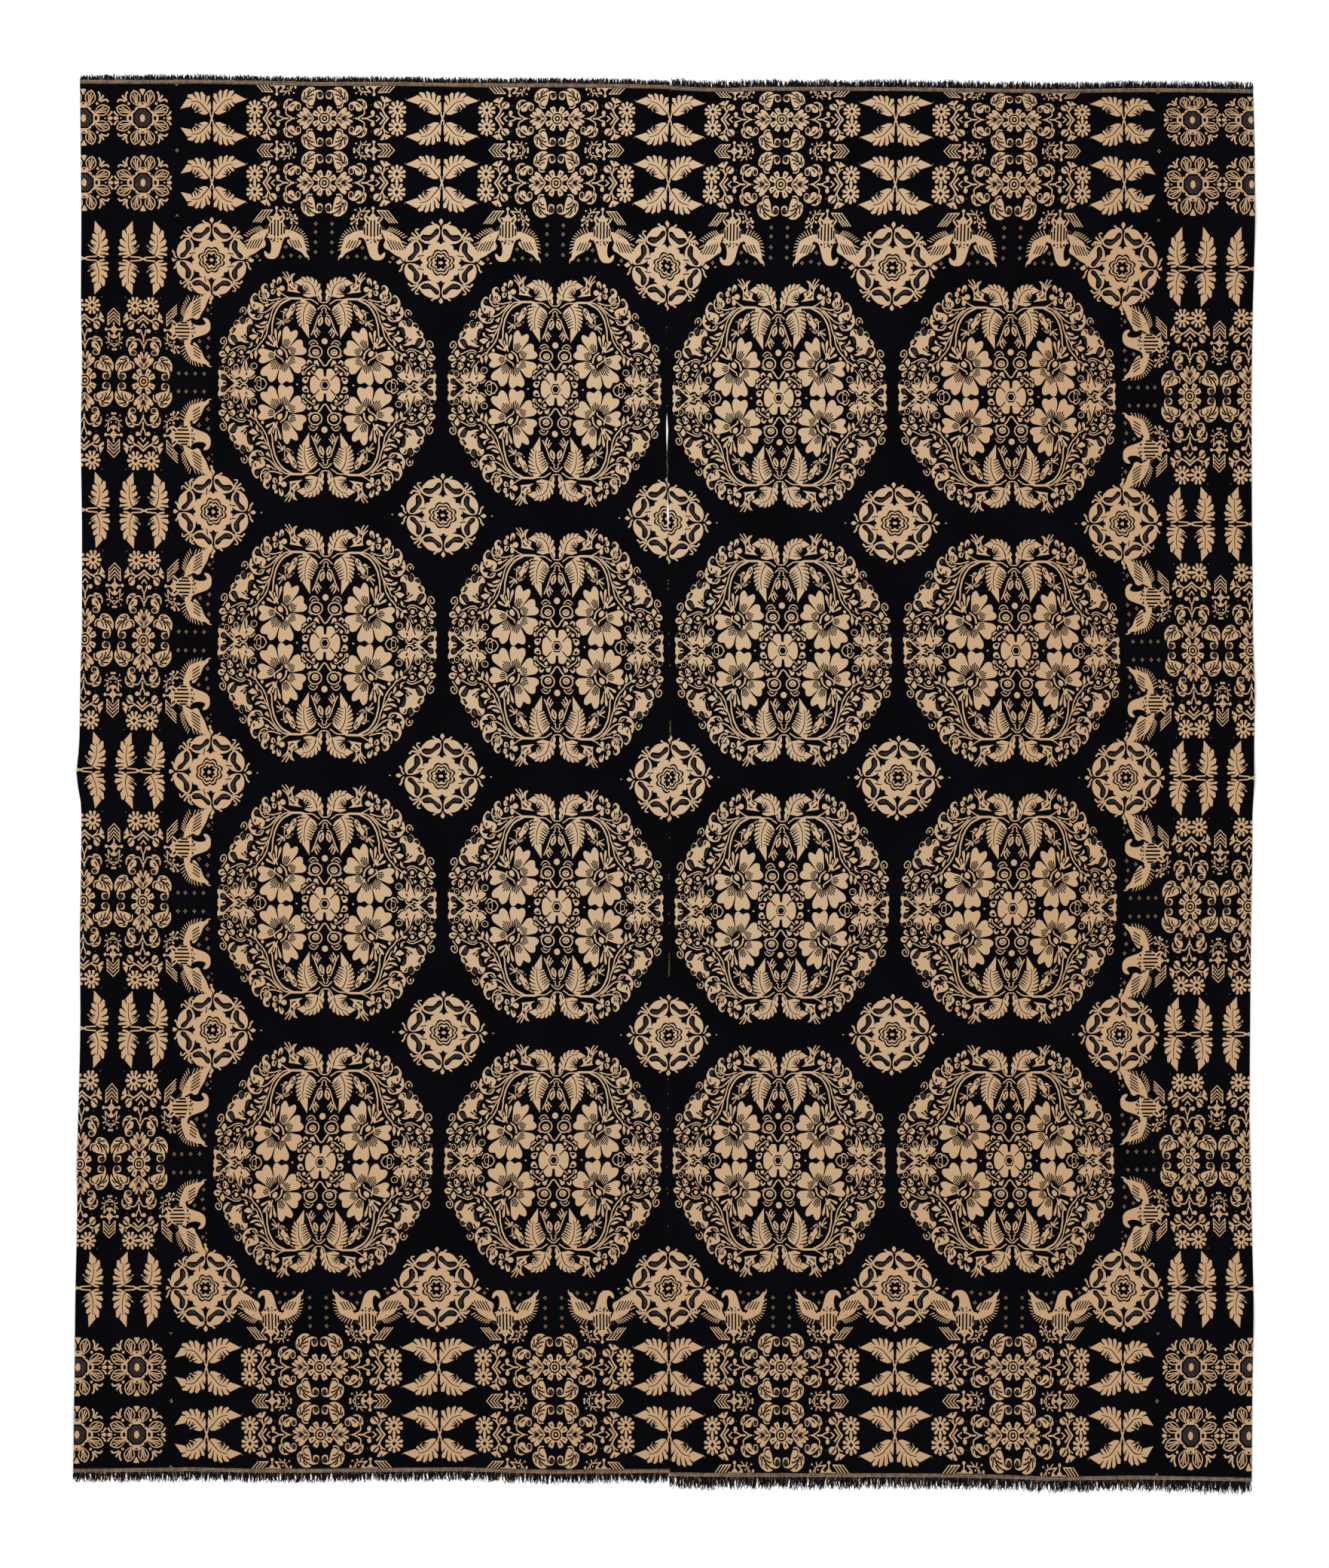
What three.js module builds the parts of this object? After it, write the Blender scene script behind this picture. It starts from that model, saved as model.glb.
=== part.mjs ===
// A double-woven coverlet: two loom widths joined down the middle, laid out flat.
// Each hem ends in a narrow striped heading with a short fringe of warp ends.
// Millimetres, +Z up, X across the two widths, Y along them, Z = 0 under the cloth.
import * as THREE from "three";

const CLOTH_THICK = 2; // two cloths woven as one
const FRINGE_THICK = 1.6;
const PART_GAP = 0.3; // between pieces that are sewn or woven together
const HEADING_DEPTH = 9; // the striped band that carries the fringe
const COLUMNS = 20; // cells across one width
const ROWS = 46; // cells along it
const TOP_Y = 1155; // the hems' mean places, where the edges are read for the end rows
const BOTTOM_Y = -1142;

// The selvedges and the middle seam. open is how far the seam has come apart there.
const EDGES = [
  { y: 1160, left: -961.5, seam: 10.5, right: 969, open: 0 },
  { y: 1080, left: -960.5, seam: 9, right: 971.5, open: 0 },
  { y: 931, left: -959, seam: 5, right: 972.5, open: 0 },
  { y: 782, left: -960, seam: 4.3, right: 968, open: 0 },
  { y: 708, left: -958, seam: 4.3, right: 967, open: 0 },
  { y: 618, left: -959.5, seam: 4.5, right: 966.6, open: 0.2 },
  { y: 586, left: -960, seam: 4.6, right: 966.6, open: 4.4 },
  { y: 556, left: -960, seam: 4.8, right: 966.6, open: 0.2 },
  { y: 488, left: -959, seam: 5.6, right: 967, open: 0.2 },
  { y: 450, left: -958.4, seam: 6, right: 967.2, open: 3.6 },
  { y: 416, left: -958, seam: 6.5, right: 967.5, open: 0.2 },
  { y: 262, left: -958, seam: 8, right: 969, open: 0 },
  { y: 187, left: -960.5, seam: 9, right: 971.5, open: 0 },
  { y: 113, left: -961.5, seam: 10.5, right: 971.5, open: 0 },
  { y: 50, left: -962.5, seam: 9.8, right: 970.5, open: 0 },
  { y: 22, left: -972.5, seam: 9.4, right: 971.8, open: 0 },
  { y: -8, left: -962.5, seam: 9.1, right: 970.2, open: 0 },
  { y: -36, left: -959, seam: 9, right: 967.8, open: 0 },
  { y: -110, left: -959, seam: 8, right: 967.8, open: 0 },
  { y: -259, left: -961.5, seam: 8, right: 965.3, open: 0 },
  { y: -408, left: -960.4, seam: 8, right: 964.1, open: 0 },
  { y: -557, left: -964, seam: 6, right: 962.9, open: 0 },
  { y: -631, left: -966.6, seam: 4.5, right: 965.3, open: 0 },
  { y: -706, left: -965.3, seam: 5.5, right: 966.6, open: 0 },
  { y: -854, left: -969, seam: 7, right: 970.3, open: 0 },
  { y: -1003, left: -970.3, seam: 8, right: 967.8, open: 0 },
  { y: -1145, left: -972.5, seam: 9.5, right: 967, open: 0 },
];

// The outer edges of the headings, read from the left selvedge to the right one.
const HEMS = {
  left: [
    { x: -962, top: 1162, bottom: -1136 },
    { x: -845, top: 1161.5, bottom: -1134.5 },
    { x: -770, top: 1162, bottom: -1133.5 },
    { x: -684, top: 1160.5, bottom: -1136 },
    { x: -572, top: 1158, bottom: -1136 },
    { x: -448, top: 1158.5, bottom: -1134.5 },
    { x: -324, top: 1156, bottom: -1133.5 },
    { x: -200, top: 1156, bottom: -1138 },
    { x: -76, top: 1155, bottom: -1137 },
    { x: 8, top: 1153, bottom: -1136.5 },
  ],
  right: [
    { x: 8, top: 1152, bottom: -1142 },
    { x: 85, top: 1147.5, bottom: -1143 },
    { x: 147, top: 1150, bottom: -1143 },
    { x: 271, top: 1150, bottom: -1143.5 },
    { x: 395, top: 1149.5, bottom: -1143.5 },
    { x: 519, top: 1147.5, bottom: -1144.5 },
    { x: 643, top: 1146, bottom: -1149.5 },
    { x: 767, top: 1148, bottom: -1147 },
    { x: 891, top: 1147.5, bottom: -1149 },
    { x: 970, top: 1146, bottom: -1151 },
  ],
};

// Soft ridges where the cloth doesn't lie quite flat: middle, half sizes, turn and rise.
const RIDGES = [
  { x: 56, y: 1040, along: 92, across: 24, turn: 94, rise: 4.2 },
  { x: -940, y: 24, along: 120, across: 46, turn: 0, rise: 5 },
  { x: 950, y: 150, along: 110, across: 52, turn: 8, rise: 3.6 },
  { x: 955, y: 18, along: 90, across: 44, turn: -6, rise: 3.4 },
  { x: 940, y: 930, along: 130, across: 60, turn: 5, rise: 3 },
  { x: -940, y: -640, along: 130, across: 60, turn: -7, rise: 3 },
  { x: -930, y: -1030, along: 120, across: 55, turn: 12, rise: 3.2 },
  { x: 935, y: -880, along: 120, across: 58, turn: -10, rise: 3 },
  { x: -330, y: 1020, along: 170, across: 60, turn: 70, rise: 2.4 },
  { x: -560, y: 60, along: 260, across: 80, turn: 24, rise: 2.2 },
  { x: 470, y: -260, along: 280, across: 85, turn: -28, rise: 2.4 },
  { x: 640, y: -1010, along: 150, across: 60, turn: 82, rise: 3 },
  { x: 400, y: 620, along: 240, across: 90, turn: 16, rise: 2 },
  { x: -420, y: -820, along: 230, across: 80, turn: -18, rise: 2.2 },
];

// Each fringe has its own length, from the shortest lock to the longest.
const FRINGES = [
  { side: "left", end: "top", locks: 64, shortest: 6, longest: 11 },
  { side: "right", end: "top", locks: 64, shortest: 9, longest: 15 },
  { side: "left", end: "bottom", locks: 64, shortest: 13, longest: 20 },
  { side: "right", end: "bottom", locks: 64, shortest: 16, longest: 25 },
];
const LOCK_WIDTH = 0.72; // of the space from lock to lock
const TIP_WIDTH = 0.4;
const LOCK_LEAN = 0.3;
const SHUFFLE = { lock: 12.9898, seed: 78.233, spread: 43758.5453 }; // any large odd figures
const NEAREST_ROW = 0.3; // of a row's height: an even row closer than this gives way

const navy = { color: 0x0b0d1a, roughness: 0.92, metalness: 0 };
const mixed = { color: 0x5b4b3c, roughness: 0.95, metalness: 0 };

// A table's column at a place between its rows, joined by straight lines.
function readTable(table, key, column, at) {
  const rows = [...table].sort((a, b) => a[key] - b[key]);
  const place = THREE.MathUtils.clamp(at, rows[0][key], rows.at(-1)[key]);
  const next = Math.max(1, rows.findIndex((row) => row[key] >= place));
  const [low, high] = [rows[next - 1], rows[next]];
  const share = (place - low[key]) / (high[key] - low[key]);
  return THREE.MathUtils.lerp(low[column], high[column], share);
}

// How far a ridge lifts the cloth at a point. It is exactly flat beyond the ridge's half sizes.
function ridgeLift(ridge, x, y) {
  const turn = THREE.MathUtils.degToRad(ridge.turn);
  const dx = x - ridge.x;
  const dy = y - ridge.y;
  const u = (dx * Math.cos(turn) + dy * Math.sin(turn)) / ridge.along;
  const v = (dy * Math.cos(turn) - dx * Math.sin(turn)) / ridge.across;
  const far = Math.min(1, Math.hypot(u, v));
  return ridge.rise * (0.5 + 0.5 * Math.cos(Math.PI * far));
}

function lift(x, y) {
  return RIDGES.reduce((sum, ridge) => sum + ridgeLift(ridge, x, y), 0);
}

// A place on one width: across runs from its left edge to its right one, y is along the rows.
function across(side, share, y) {
  const seam = readTable(EDGES, "y", "seam", y);
  const half = PART_GAP / 2 + readTable(EDGES, "y", "open", y) / 2;
  return side === "left"
    ? THREE.MathUtils.lerp(readTable(EDGES, "y", "left", y), seam - half, share)
    : THREE.MathUtils.lerp(seam + half, readTable(EDGES, "y", "right", y), share);
}

// Even rows, and one at each end and middle of the stretches where the seam is open.
function rowShares() {
  const even = Array.from({ length: ROWS + 1 }, (_, row) => row / ROWS);
  const open = EDGES.filter((edge) => edge.open > 0);
  const extra = open.map((edge) => (edge.y - BOTTOM_Y) / (TOP_Y - BOTTOM_Y));
  const nearest = NEAREST_ROW / ROWS;
  const kept = even.filter((share) => extra.every((e) => Math.abs(e - share) > nearest));
  return [...kept, ...extra].sort((a, b) => a - b);
}

// A closed sheet over a grid of points: its upper face, its lower face and the rim between.
function sheetGeometry(columns, rows, pointAt) {
  const positions = [];
  const index = [];
  for (const raised of [0, CLOTH_THICK]) {
    for (let row = 0; row <= rows; row++) {
      for (let column = 0; column <= columns; column++) {
        const point = pointAt(column, row);
        positions.push(point.x, point.y, point.z + raised);
      }
    }
  }
  const layer = (columns + 1) * (rows + 1);
  const at = (column, row, upper) => row * (columns + 1) + column + (upper ? layer : 0);
  const quad = (a, b, c, d) => index.push(a, b, c, a, c, d);
  for (let row = 0; row < rows; row++) {
    for (let column = 0; column < columns; column++) {
      const corners = [[0, 0], [1, 0], [1, 1], [0, 1]];
      quad(...corners.map(([i, j]) => at(column + i, row + j, true)));
      quad(...corners.reverse().map(([i, j]) => at(column + i, row + j, false)));
    }
  }
  const wall = (p, q) => quad(at(...p, false), at(...q, false), at(...q, true), at(...p, true));
  for (let column = 0; column < columns; column++) {
    wall([column, 0], [column + 1, 0]);
    wall([column + 1, rows], [column, rows]);
  }
  for (let row = 0; row < rows; row++) {
    wall([columns, row], [columns, row + 1]);
    wall([0, row + 1], [0, row]);
  }
  const geometry = new THREE.BufferGeometry();
  geometry.setAttribute("position", new THREE.Float32BufferAttribute(positions, 3));
  geometry.setIndex(index);
  geometry.computeVertexNormals();
  return geometry;
}

function panel(side) {
  const shares = rowShares();
  const inset = HEADING_DEPTH + PART_GAP;
  const pointAt = (column, row) => {
    const rowY = THREE.MathUtils.lerp(BOTTOM_Y, TOP_Y, shares[row]);
    const x = across(side, column / COLUMNS, rowY);
    const top = readTable(HEMS[side], "x", "top", x) - inset;
    const bottom = readTable(HEMS[side], "x", "bottom", x) + inset;
    const y = THREE.MathUtils.lerp(bottom, top, shares[row]);
    return { x, y, z: lift(x, y) };
  };
  const geometry = sheetGeometry(COLUMNS, shares.length - 1, pointAt);
  const mesh = new THREE.Mesh(geometry, new THREE.MeshStandardMaterial(navy));
  mesh.name = `panel_${side}`;
  return mesh;
}

// An even but irregular share from 0 to 1 for each lock, the same at every run.
function uneven(lock, seed) {
  const wave = Math.sin(lock * SHUFFLE.lock + seed * SHUFFLE.seed) * SHUFFLE.spread;
  return wave - Math.floor(wave);
}

// A heading with its fringe, in plan: the heading's inner edge, then out and in along each lock.
function fringe({ side, end, locks, shortest, longest }, seed) {
  const outward = end === "top" ? 1 : -1;
  const hemY = (x) => readTable(HEMS[side], "x", end, x);
  const cornerY = end === "top" ? TOP_Y : BOTTOM_Y;
  const start = across(side, 0, cornerY);
  const width = across(side, 1, cornerY) - start;
  const pitch = width / locks;
  const inner = [];
  const outer = [];
  for (let lock = 0; lock < locks; lock++) {
    const middle = start + pitch * (lock + 0.5);
    const long = THREE.MathUtils.lerp(shortest, longest, uneven(lock, seed));
    const lean = pitch * LOCK_LEAN * (uneven(lock, seed + 4) - 0.5);
    const root = (pitch * LOCK_WIDTH) / 2;
    const tip = (pitch * TIP_WIDTH) / 2;
    outer.push([middle - root, hemY(middle)]);
    outer.push([middle - tip + lean, hemY(middle) + outward * long]);
    outer.push([middle + tip + lean, hemY(middle) + outward * long]);
    outer.push([middle + root, hemY(middle)]);
  }
  for (let column = 1; column < COLUMNS; column++) {
    const x = start + (width * column) / COLUMNS;
    inner.push([x, hemY(x) - outward * HEADING_DEPTH]);
  }
  const corner = (x, depth) => [x, hemY(x) - outward * depth];
  const outline = [
    corner(start, HEADING_DEPTH),
    corner(start, 0),
    ...outer,
    corner(start + width, 0),
    corner(start + width, HEADING_DEPTH),
    ...inner.reverse(),
  ];
  const shape = new THREE.Shape(outline.map(([x, y]) => new THREE.Vector2(x, y)));
  const geometry = new THREE.ExtrudeGeometry(shape, { depth: FRINGE_THICK, bevelEnabled: false });
  const mesh = new THREE.Mesh(geometry, new THREE.MeshStandardMaterial(mixed));
  mesh.name = `fringe_${end}_${side}`;
  return mesh;
}

const coverlet = new THREE.Group();
coverlet.add(panel("left"), panel("right"));
FRINGES.forEach((row, seed) => coverlet.add(fringe(row, seed + 1)));

export default coverlet;
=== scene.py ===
"""A double-woven jacquard coverlet in navy and cream, made of two loom widths and laid flat."""

import math
import random

import bpy
from bpy.props import FloatProperty, FloatVectorProperty, IntProperty, PointerProperty
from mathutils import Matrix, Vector, noise
from mathutils.bvhtree import BVHTree
from mathutils.geometry import delaunay_2d_cdt


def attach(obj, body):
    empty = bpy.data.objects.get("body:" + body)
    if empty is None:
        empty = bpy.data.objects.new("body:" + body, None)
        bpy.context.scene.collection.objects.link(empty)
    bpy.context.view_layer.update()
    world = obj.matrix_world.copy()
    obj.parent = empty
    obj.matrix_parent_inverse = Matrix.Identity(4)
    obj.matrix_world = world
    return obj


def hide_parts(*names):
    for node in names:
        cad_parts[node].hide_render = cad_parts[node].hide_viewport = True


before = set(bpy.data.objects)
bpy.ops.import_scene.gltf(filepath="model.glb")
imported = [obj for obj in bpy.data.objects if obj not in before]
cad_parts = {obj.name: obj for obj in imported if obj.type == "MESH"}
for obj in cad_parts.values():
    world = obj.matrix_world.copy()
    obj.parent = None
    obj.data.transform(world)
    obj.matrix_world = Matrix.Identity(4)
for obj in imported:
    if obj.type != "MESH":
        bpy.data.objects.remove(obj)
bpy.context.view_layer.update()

bl_info = {
    "name": "Jacquard coverlet",
    "version": (1, 0, 0),
    "blender": (4, 2, 0),
    "location": "3D View > Sidebar > Coverlet",
    "description": "A double-woven coverlet of two joined widths with woven flowers and birds",
    "category": "Object",
}

MM = 0.001

NAVY, CREAM, MIXED = 0, 1, 2

HALF_WIDE = 190.4       # from a medallion's middle to the rosettes beside it
HALF_LONG = 211.7       # from a medallion's middle to the rosettes above it
BAND_DEEP = 53.5        # half the repeat of the flower band at the ends
SIDE_DEEP = 48.25       # the same at the sides
SIDE_BIRD = 67.0        # depth of the birds' band at the sides
CUT_FLOWER = 5.3        # what is left of the outermost flowers beyond their middles


def curve(points, closed=False, parts=2):
    """Points along a smooth curve through the given ones, so many to each span."""
    count = len(points)
    spans = count if closed else count - 1
    result = []
    for i in range(spans):
        if closed:
            a, b, c, d = (points[(i + k) % count] for k in (-1, 0, 1, 2))
        else:
            a, b, c, d = (points[min(max(i + k, 0), count - 1)] for k in (-1, 0, 1, 2))
        for part in range(parts):
            t = part / parts
            result.append(tuple(
                0.5 * (2 * q + (r - p) * t + (2 * p - 5 * q + 4 * r - s) * t * t
                       + (3 * q - p - 3 * r + s) * t ** 3)
                for p, q, r, s in zip(a, b, c, d)))
    if not closed:
        result.append(tuple(points[-1]))
    return result


def shrunk(points, by):
    """A closed outline moved inwards by so many mm, less where it is narrow, outwards below nought."""
    count = len(points)
    area = sum(points[k - 1][0] * points[k][1] - points[k][0] * points[k - 1][1] for k in range(count))
    result = []
    for k, (x, y) in enumerate(points):
        (ax, ay), (bx, cy) = points[k - 1], points[(k + 1) % count]
        far = math.hypot(bx - ax, cy - ay) or 1.0
        across = [points[j] for j in range(count) if 1 < (j - k) % count < count - 1]
        room = 0.4 * min(math.dist((x, y), other) for other in across)
        move = math.copysign(1.0, area) * min(by, room) / far
        result.append((x - (cy - ay) * move, y + (bx - ax) * move))
    return result


class Sketch:
    """Shapes in the order they are laid, each a colour and an outline in mm.

    Thin says by how many mm the light shapes are drawn in, as the dark floats beside them do.
    """

    def __init__(self, thin=0.3):
        self.shapes = []
        self.thin = thin

    def patch(self, colour, points):
        self.shapes.append((colour, [tuple(point) for point in points]))

    def shape(self, colour, points):
        """A patch drawn in a little if it is light and out if it is dark."""
        self.patch(colour, shrunk(points, {NAVY: -0.2, CREAM: self.thin, MIXED: 0.0}[colour]))

    def blob(self, colour, points, parts=2):
        self.shape(colour, curve(points, closed=True, parts=parts))

    def disc(self, colour, x, y, wide, high=None, sides=10):
        high = wide if high is None else high
        self.shape(colour, [
            (x + wide * math.cos(math.tau * (k + 0.5) / sides),
             y + high * math.sin(math.tau * (k + 0.5) / sides)) for k in range(sides)])

    def ring(self, x, y, wide, high, thick, sides=12, inside=NAVY):
        self.disc(CREAM, x, y, wide, high, sides)
        self.disc(inside, x, y, wide - thick, high - thick, sides)

    def stem(self, colour, points, width, end=None, parts=2):
        """A ribbon along a smooth curve, from one width to another."""
        end = width if end is None else end
        grow = {NAVY: 0.6, CREAM: -0.5 * self.thin, MIXED: 0.0}[colour]
        width, end = width + grow, end + grow
        line = curve(points, parts=parts) if len(points) > 2 else [tuple(p) for p in points]
        last = len(line) - 1
        sides = []
        for i, (x, y) in enumerate(line):
            ax, ay = line[max(i - 1, 0)]
            bx, by = line[min(i + 1, last)]
            far = math.hypot(bx - ax, by - ay) or 1.0
            half = (width + (end - width) * i / last) / 2
            nx, ny = -(by - ay) / far * half, (bx - ax) / far * half
            sides.append(((x + nx, y + ny), (x - nx, y - ny)))
        for (a, b), (c, d) in zip(sides, sides[1:]):
            self.patch(colour, [a, b, d, c])

    def petal(self, colour, x, y, turn, length, width, notch=0.0):
        """A petal or leaflet from its root, widest past its middle."""
        c, s = math.cos(math.radians(turn)), math.sin(math.radians(turn))
        half = [(0.0, 0.10), (0.35, 0.34), (0.70, 0.50), (0.93, 0.34)]
        outline = half + [(1.0 - notch, 0.0)] + [(a, -b) for a, b in reversed(half)]
        self.blob(colour, [
            (x + c * a * length - s * b * width, y + s * a * length + c * b * width)
            for a, b in outline])

    def add(self, other, change):
        for colour, outline in other.shapes:
            self.shapes.append((colour, [change(x, y) for x, y in outline]))


def beside(line, t, off):
    """The point at a share t of a line, moved sideways by off."""
    place = min(max(t, 0.0), 1.0) * (len(line) - 1)
    k = min(int(place), len(line) - 2)
    (ax, ay), (bx, by) = line[k], line[k + 1]
    f = place - k
    far = math.hypot(bx - ax, by - ay) or 1.0
    return ax + (bx - ax) * f - (by - ay) / far * off, ay + (by - ay) * f + (bx - ax) / far * off


# A leaf's notches, points and slits, as shares of its half width where they stand.
NOTCH, POINT = 0.82, 1.06
SLIT_OUTER, SLIT_INNER = 0.84, 0.3


def leaf(s, spine, left, right, teeth, bare=0.24, full=0.12, slit=1.9):
    """A toothed leaf about a spine from its stalk to its tip, with short slits between its teeth."""
    rib = curve(spine, parts=5)
    first, drop, blunt = max(0.2, full), max(0.28, full + 0.06), 0.74 - 1.6 * full

    def reach(t):
        return min(1.0, blunt + (1 - blunt) * t / full) * (1 - max(0.0, t - drop) / (1 - drop)) ** 0.5
    starts = [first + (1 - bare - first) * k / teeth for k in range(teeth + 1)]
    sides = []
    for wide in (left, -right):
        edge = [beside(rib, t, wide * reach(t)) for t in (0.0, 0.1)]
        for notch, after in zip(starts, starts[1:]):
            point = notch * 0.3 + after * 0.7
            edge.append(beside(rib, notch, wide * reach(notch) * NOTCH))
            edge.append(beside(rib, point, wide * reach(point) * POINT))
        edge.append(beside(rib, 1 - bare, wide * reach(1 - bare) * 0.7))
        sides.append(edge)
    s.shape(CREAM, sides[1] + [rib[-1]] + sides[0][::-1])
    for wide in (left, -right):
        for t in starts:
            outer = beside(rib, t, wide * reach(t) * SLIT_OUTER)
            inner = beside(rib, t - 0.08, wide * reach(t) * SLIT_INNER)
            s.stem(NAVY, [outer, inner], slit, 0.4)
    s.stem(NAVY, [beside(rib, 0.03 + 0.72 * k / 5, 0) for k in range(6)], 1.2, 0.6)


def fan_petal(s, x, y, turn, half, root, reach, notch=0.1, lines=(), line=1.6):
    """A petal that opens like a fan from a flower's heart, with a notch and dark lines in it."""
    shares = (1.0, 0.97, 0.86, 0.62, 0.38, 0.16, 0.0)
    edge = []
    for t in [-v for v in shares] + list(shares[-2::-1]):
        far = (1 - t ** 4) ** 0.4 * (1 - notch * math.exp(-(t / 0.2) ** 2))
        a = math.radians(turn + half * t * (0.78 + 0.22 * far))
        r = root + (reach - root) * far
        edge.append((x + r * math.cos(a), y + r * math.sin(a)))
    s.blob(CREAM, edge)
    for share, start, end in lines:
        a = math.radians(turn + half * share)
        s.stem(NAVY, [(x + reach * r * math.cos(a), y + reach * r * math.sin(a)) for r in (start, end)],
               line * 0.7, line)


def almond(s, colour, x, y, turn, long, wide, inset=0.0):
    """A pointed oval from its root at x, y."""
    c, d = math.cos(math.radians(turn)), math.sin(math.radians(turn))
    edge = []
    for k in range(16):
        t = 1 - abs(1 - k / 8)
        a = inset + (long - 2.4 * inset) * t
        b = (wide - inset) * math.sin(math.pi * t ** 1.1) ** 0.75 * (1 if k < 8 else -1)
        edge.append((x + c * a - d * b, y + d * a + c * b))
    s.patch(colour, edge)


# The medallion: each function draws a part of one quarter, in mm from its middle
def medallion_heart(s):
    s.disc(CREAM, 0, 0, 15, sides=16)
    s.blob(CREAM, [(9, 0), (11, 9), (17.5, 15.5), (24, 12.5), (26.3, 4), (26.3, -4), (24, -12.5),
                   (17.5, -15.5), (11, -9)])
    s.blob(CREAM, [(1.5, 8), (1.8, 17), (2.6, 25.5), (6.5, 28.2), (12, 27.5), (16.8, 22.5),
                   (16.8, 17.5), (10, 8)])
    s.stem(NAVY, [(9.5, 7.8), (13.5, 12.2), (17.2, 16.2)], 1.1, 1.5)
    s.patch(NAVY, [(-1.8, 30), (1.8, 30), (1.6, 22), (0.6, 15), (-0.6, 15), (-1.6, 22)])
    hexagon = [(1, 0), (0.5, 1), (-0.5, 1), (-1, 0), (-0.5, -1), (0.5, -1)]
    for colour, wide, high in ((NAVY, 9.2, 9.2), (CREAM, 7.6, 6.9), (NAVY, 5.6, 5.2)):
        s.patch(colour, [(wide * a, high * b) for a, b in hexagon])


def curl_flower(s):
    s.stem(CREAM, [(17.5, 17), (21, 20.5), (24.5, 24)], 1.7)
    s.disc(CREAM, 19, 27.3, 3.4)
    s.disc(CREAM, 27.6, 19, 3.5)
    s.stem(CREAM, [(16.5, 32), (21, 33), (26, 29), (31, 26), (34.5, 22), (34.5, 17.5)], 1.9)
    s.blob(CREAM, [(9, 31), (12, 32), (15.5, 34.8), (20, 35.5), (19, 40), (16, 42), (12.5, 41.5),
                   (10.8, 37.5)])
    s.blob(CREAM, [(22, 37.5), (25, 42), (29, 42.5), (32, 39), (31.3, 34.5), (28.2, 32.5),
                   (28.6, 36.5), (26.8, 38.5), (24.5, 36)])
    s.blob(CREAM, [(30, 30.5), (34, 32.5), (38.5, 29.5), (40, 26), (37.5, 24.6), (35.5, 27.5)])
    s.blob(CREAM, [(36.5, 23.5), (40, 22), (41, 18), (39, 15.5), (35, 15.8), (36.8, 19.5)])
    s.blob(CREAM, [(27, 12.5), (31, 13.6), (36.5, 12.8), (39.6, 9.5), (39.3, 5), (36, 1.8),
                   (32, 1.8), (29.3, 5.5)])
    s.blob(NAVY, [(29.8, 10), (33, 11.4), (36.6, 10), (35, 8), (32.2, 7.2)])


def ring_rose(s):
    s.stem(CREAM, [(11.5, 45.5), (7.5, 41), (5.5, 37.5), (3, 34), (-1, 31.5)], 2.8, 2.2)
    s.ring(16, 56.5, 12.6, 11.6, 2.6, 16)
    s.disc(CREAM, 15.7, 55.4, 6.6, 5.8, sides=14)
    s.stem(NAVY, [(11.6, 54.6), (15, 58), (19.6, 56.6)], 1.0)
    s.stem(NAVY, [(14.6, 53.4), (17.2, 53.4)], 1.2)
    s.stem(CREAM, [(20.5, 47.8), (24.5, 46.8), (29.3, 51.5)], 1.9)
    s.stem(CREAM, [(11.5, 69), (15, 74), (20, 76), (25, 73.5), (27.5, 69)], 2.1, 1.4)
    s.stem(CREAM, [(17, 71), (21, 70.6), (24.5, 67)], 1.8)


# The rose's petals: direction, half angle, reach, notch, and where its dark lines lie.
ROSE_PETALS = (
    (111, 24, 51, 0.24, (-0.5, -0.2, 0.1, 0.4)),
    (157, 28, 44, 0.14, (-0.6, -0.3, 0, 0.3, 0.6)),
    (211, 29, 44, 0.16, (-0.6, -0.3, 0, 0.3, 0.6)),
    (261.5, 25, 50.5, 0.14, (-0.6, -0.3, 0, 0.3, 0.6)),
    (306, 26, 52, 0.16, (-0.6, -0.3, 0, 0.3, 0.6)),
    (356, 27, 44, 0.22, (-0.5, -0.2, 0.1, 0.4)),
)


def great_rose(s):
    hx, hy = 74, 50
    for turn, half, reach, notch, shares in ROSE_PETALS:
        lines = [(share, 15 / reach, 0.6 - 0.16 * abs(share)) for share in shares]
        fan_petal(s, hx, hy, turn, half, 14, reach, notch, lines, 1.5)
    s.disc(NAVY, hx + 1.5, hy, 12, 15.5, 16)
    s.stem(CREAM, [(65.5, 45), (66.6, 52), (70, 58.4), (77, 63.4)], 3.4, 2.2)
    s.blob(CREAM, [(73.2, 50), (72.9, 54.5), (76, 59), (79.8, 60.3), (83.2, 57), (82.6, 52.5),
                   (79.5, 49.4), (76, 48.4)], parts=1)
    s.stem(CREAM, [(86, 57.8), (87.2, 53.5), (84.6, 49), (79, 45.4), (74, 42), (73, 37.5)], 2.4)
    s.disc(CREAM, 66.3, 38.6, 2.9, 4.0)


def calyx(s):
    leaves = ((81, 72, 103, 21, 5.4), (83.5, 73, 85, 22.5, 5.6), (86.5, 70, 75, 13, 3.8),
              (88.5, 68.5, 58, 18, 6.2), (90, 64.5, 31, 15, 5.6))
    for x, y, turn, length, width in leaves:
        s.petal(CREAM, x, y, turn, length, width)
    s.blob(CREAM, [(81, 72), (85, 75), (89.5, 71), (91, 66), (95, 63.4), (100, 63), (102, 66),
                   (96, 66.5), (90, 63.5), (86, 63.5)])
    s.stem(CREAM, [(83.6, 68), (82.2, 62.5)], 2.2)


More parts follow.
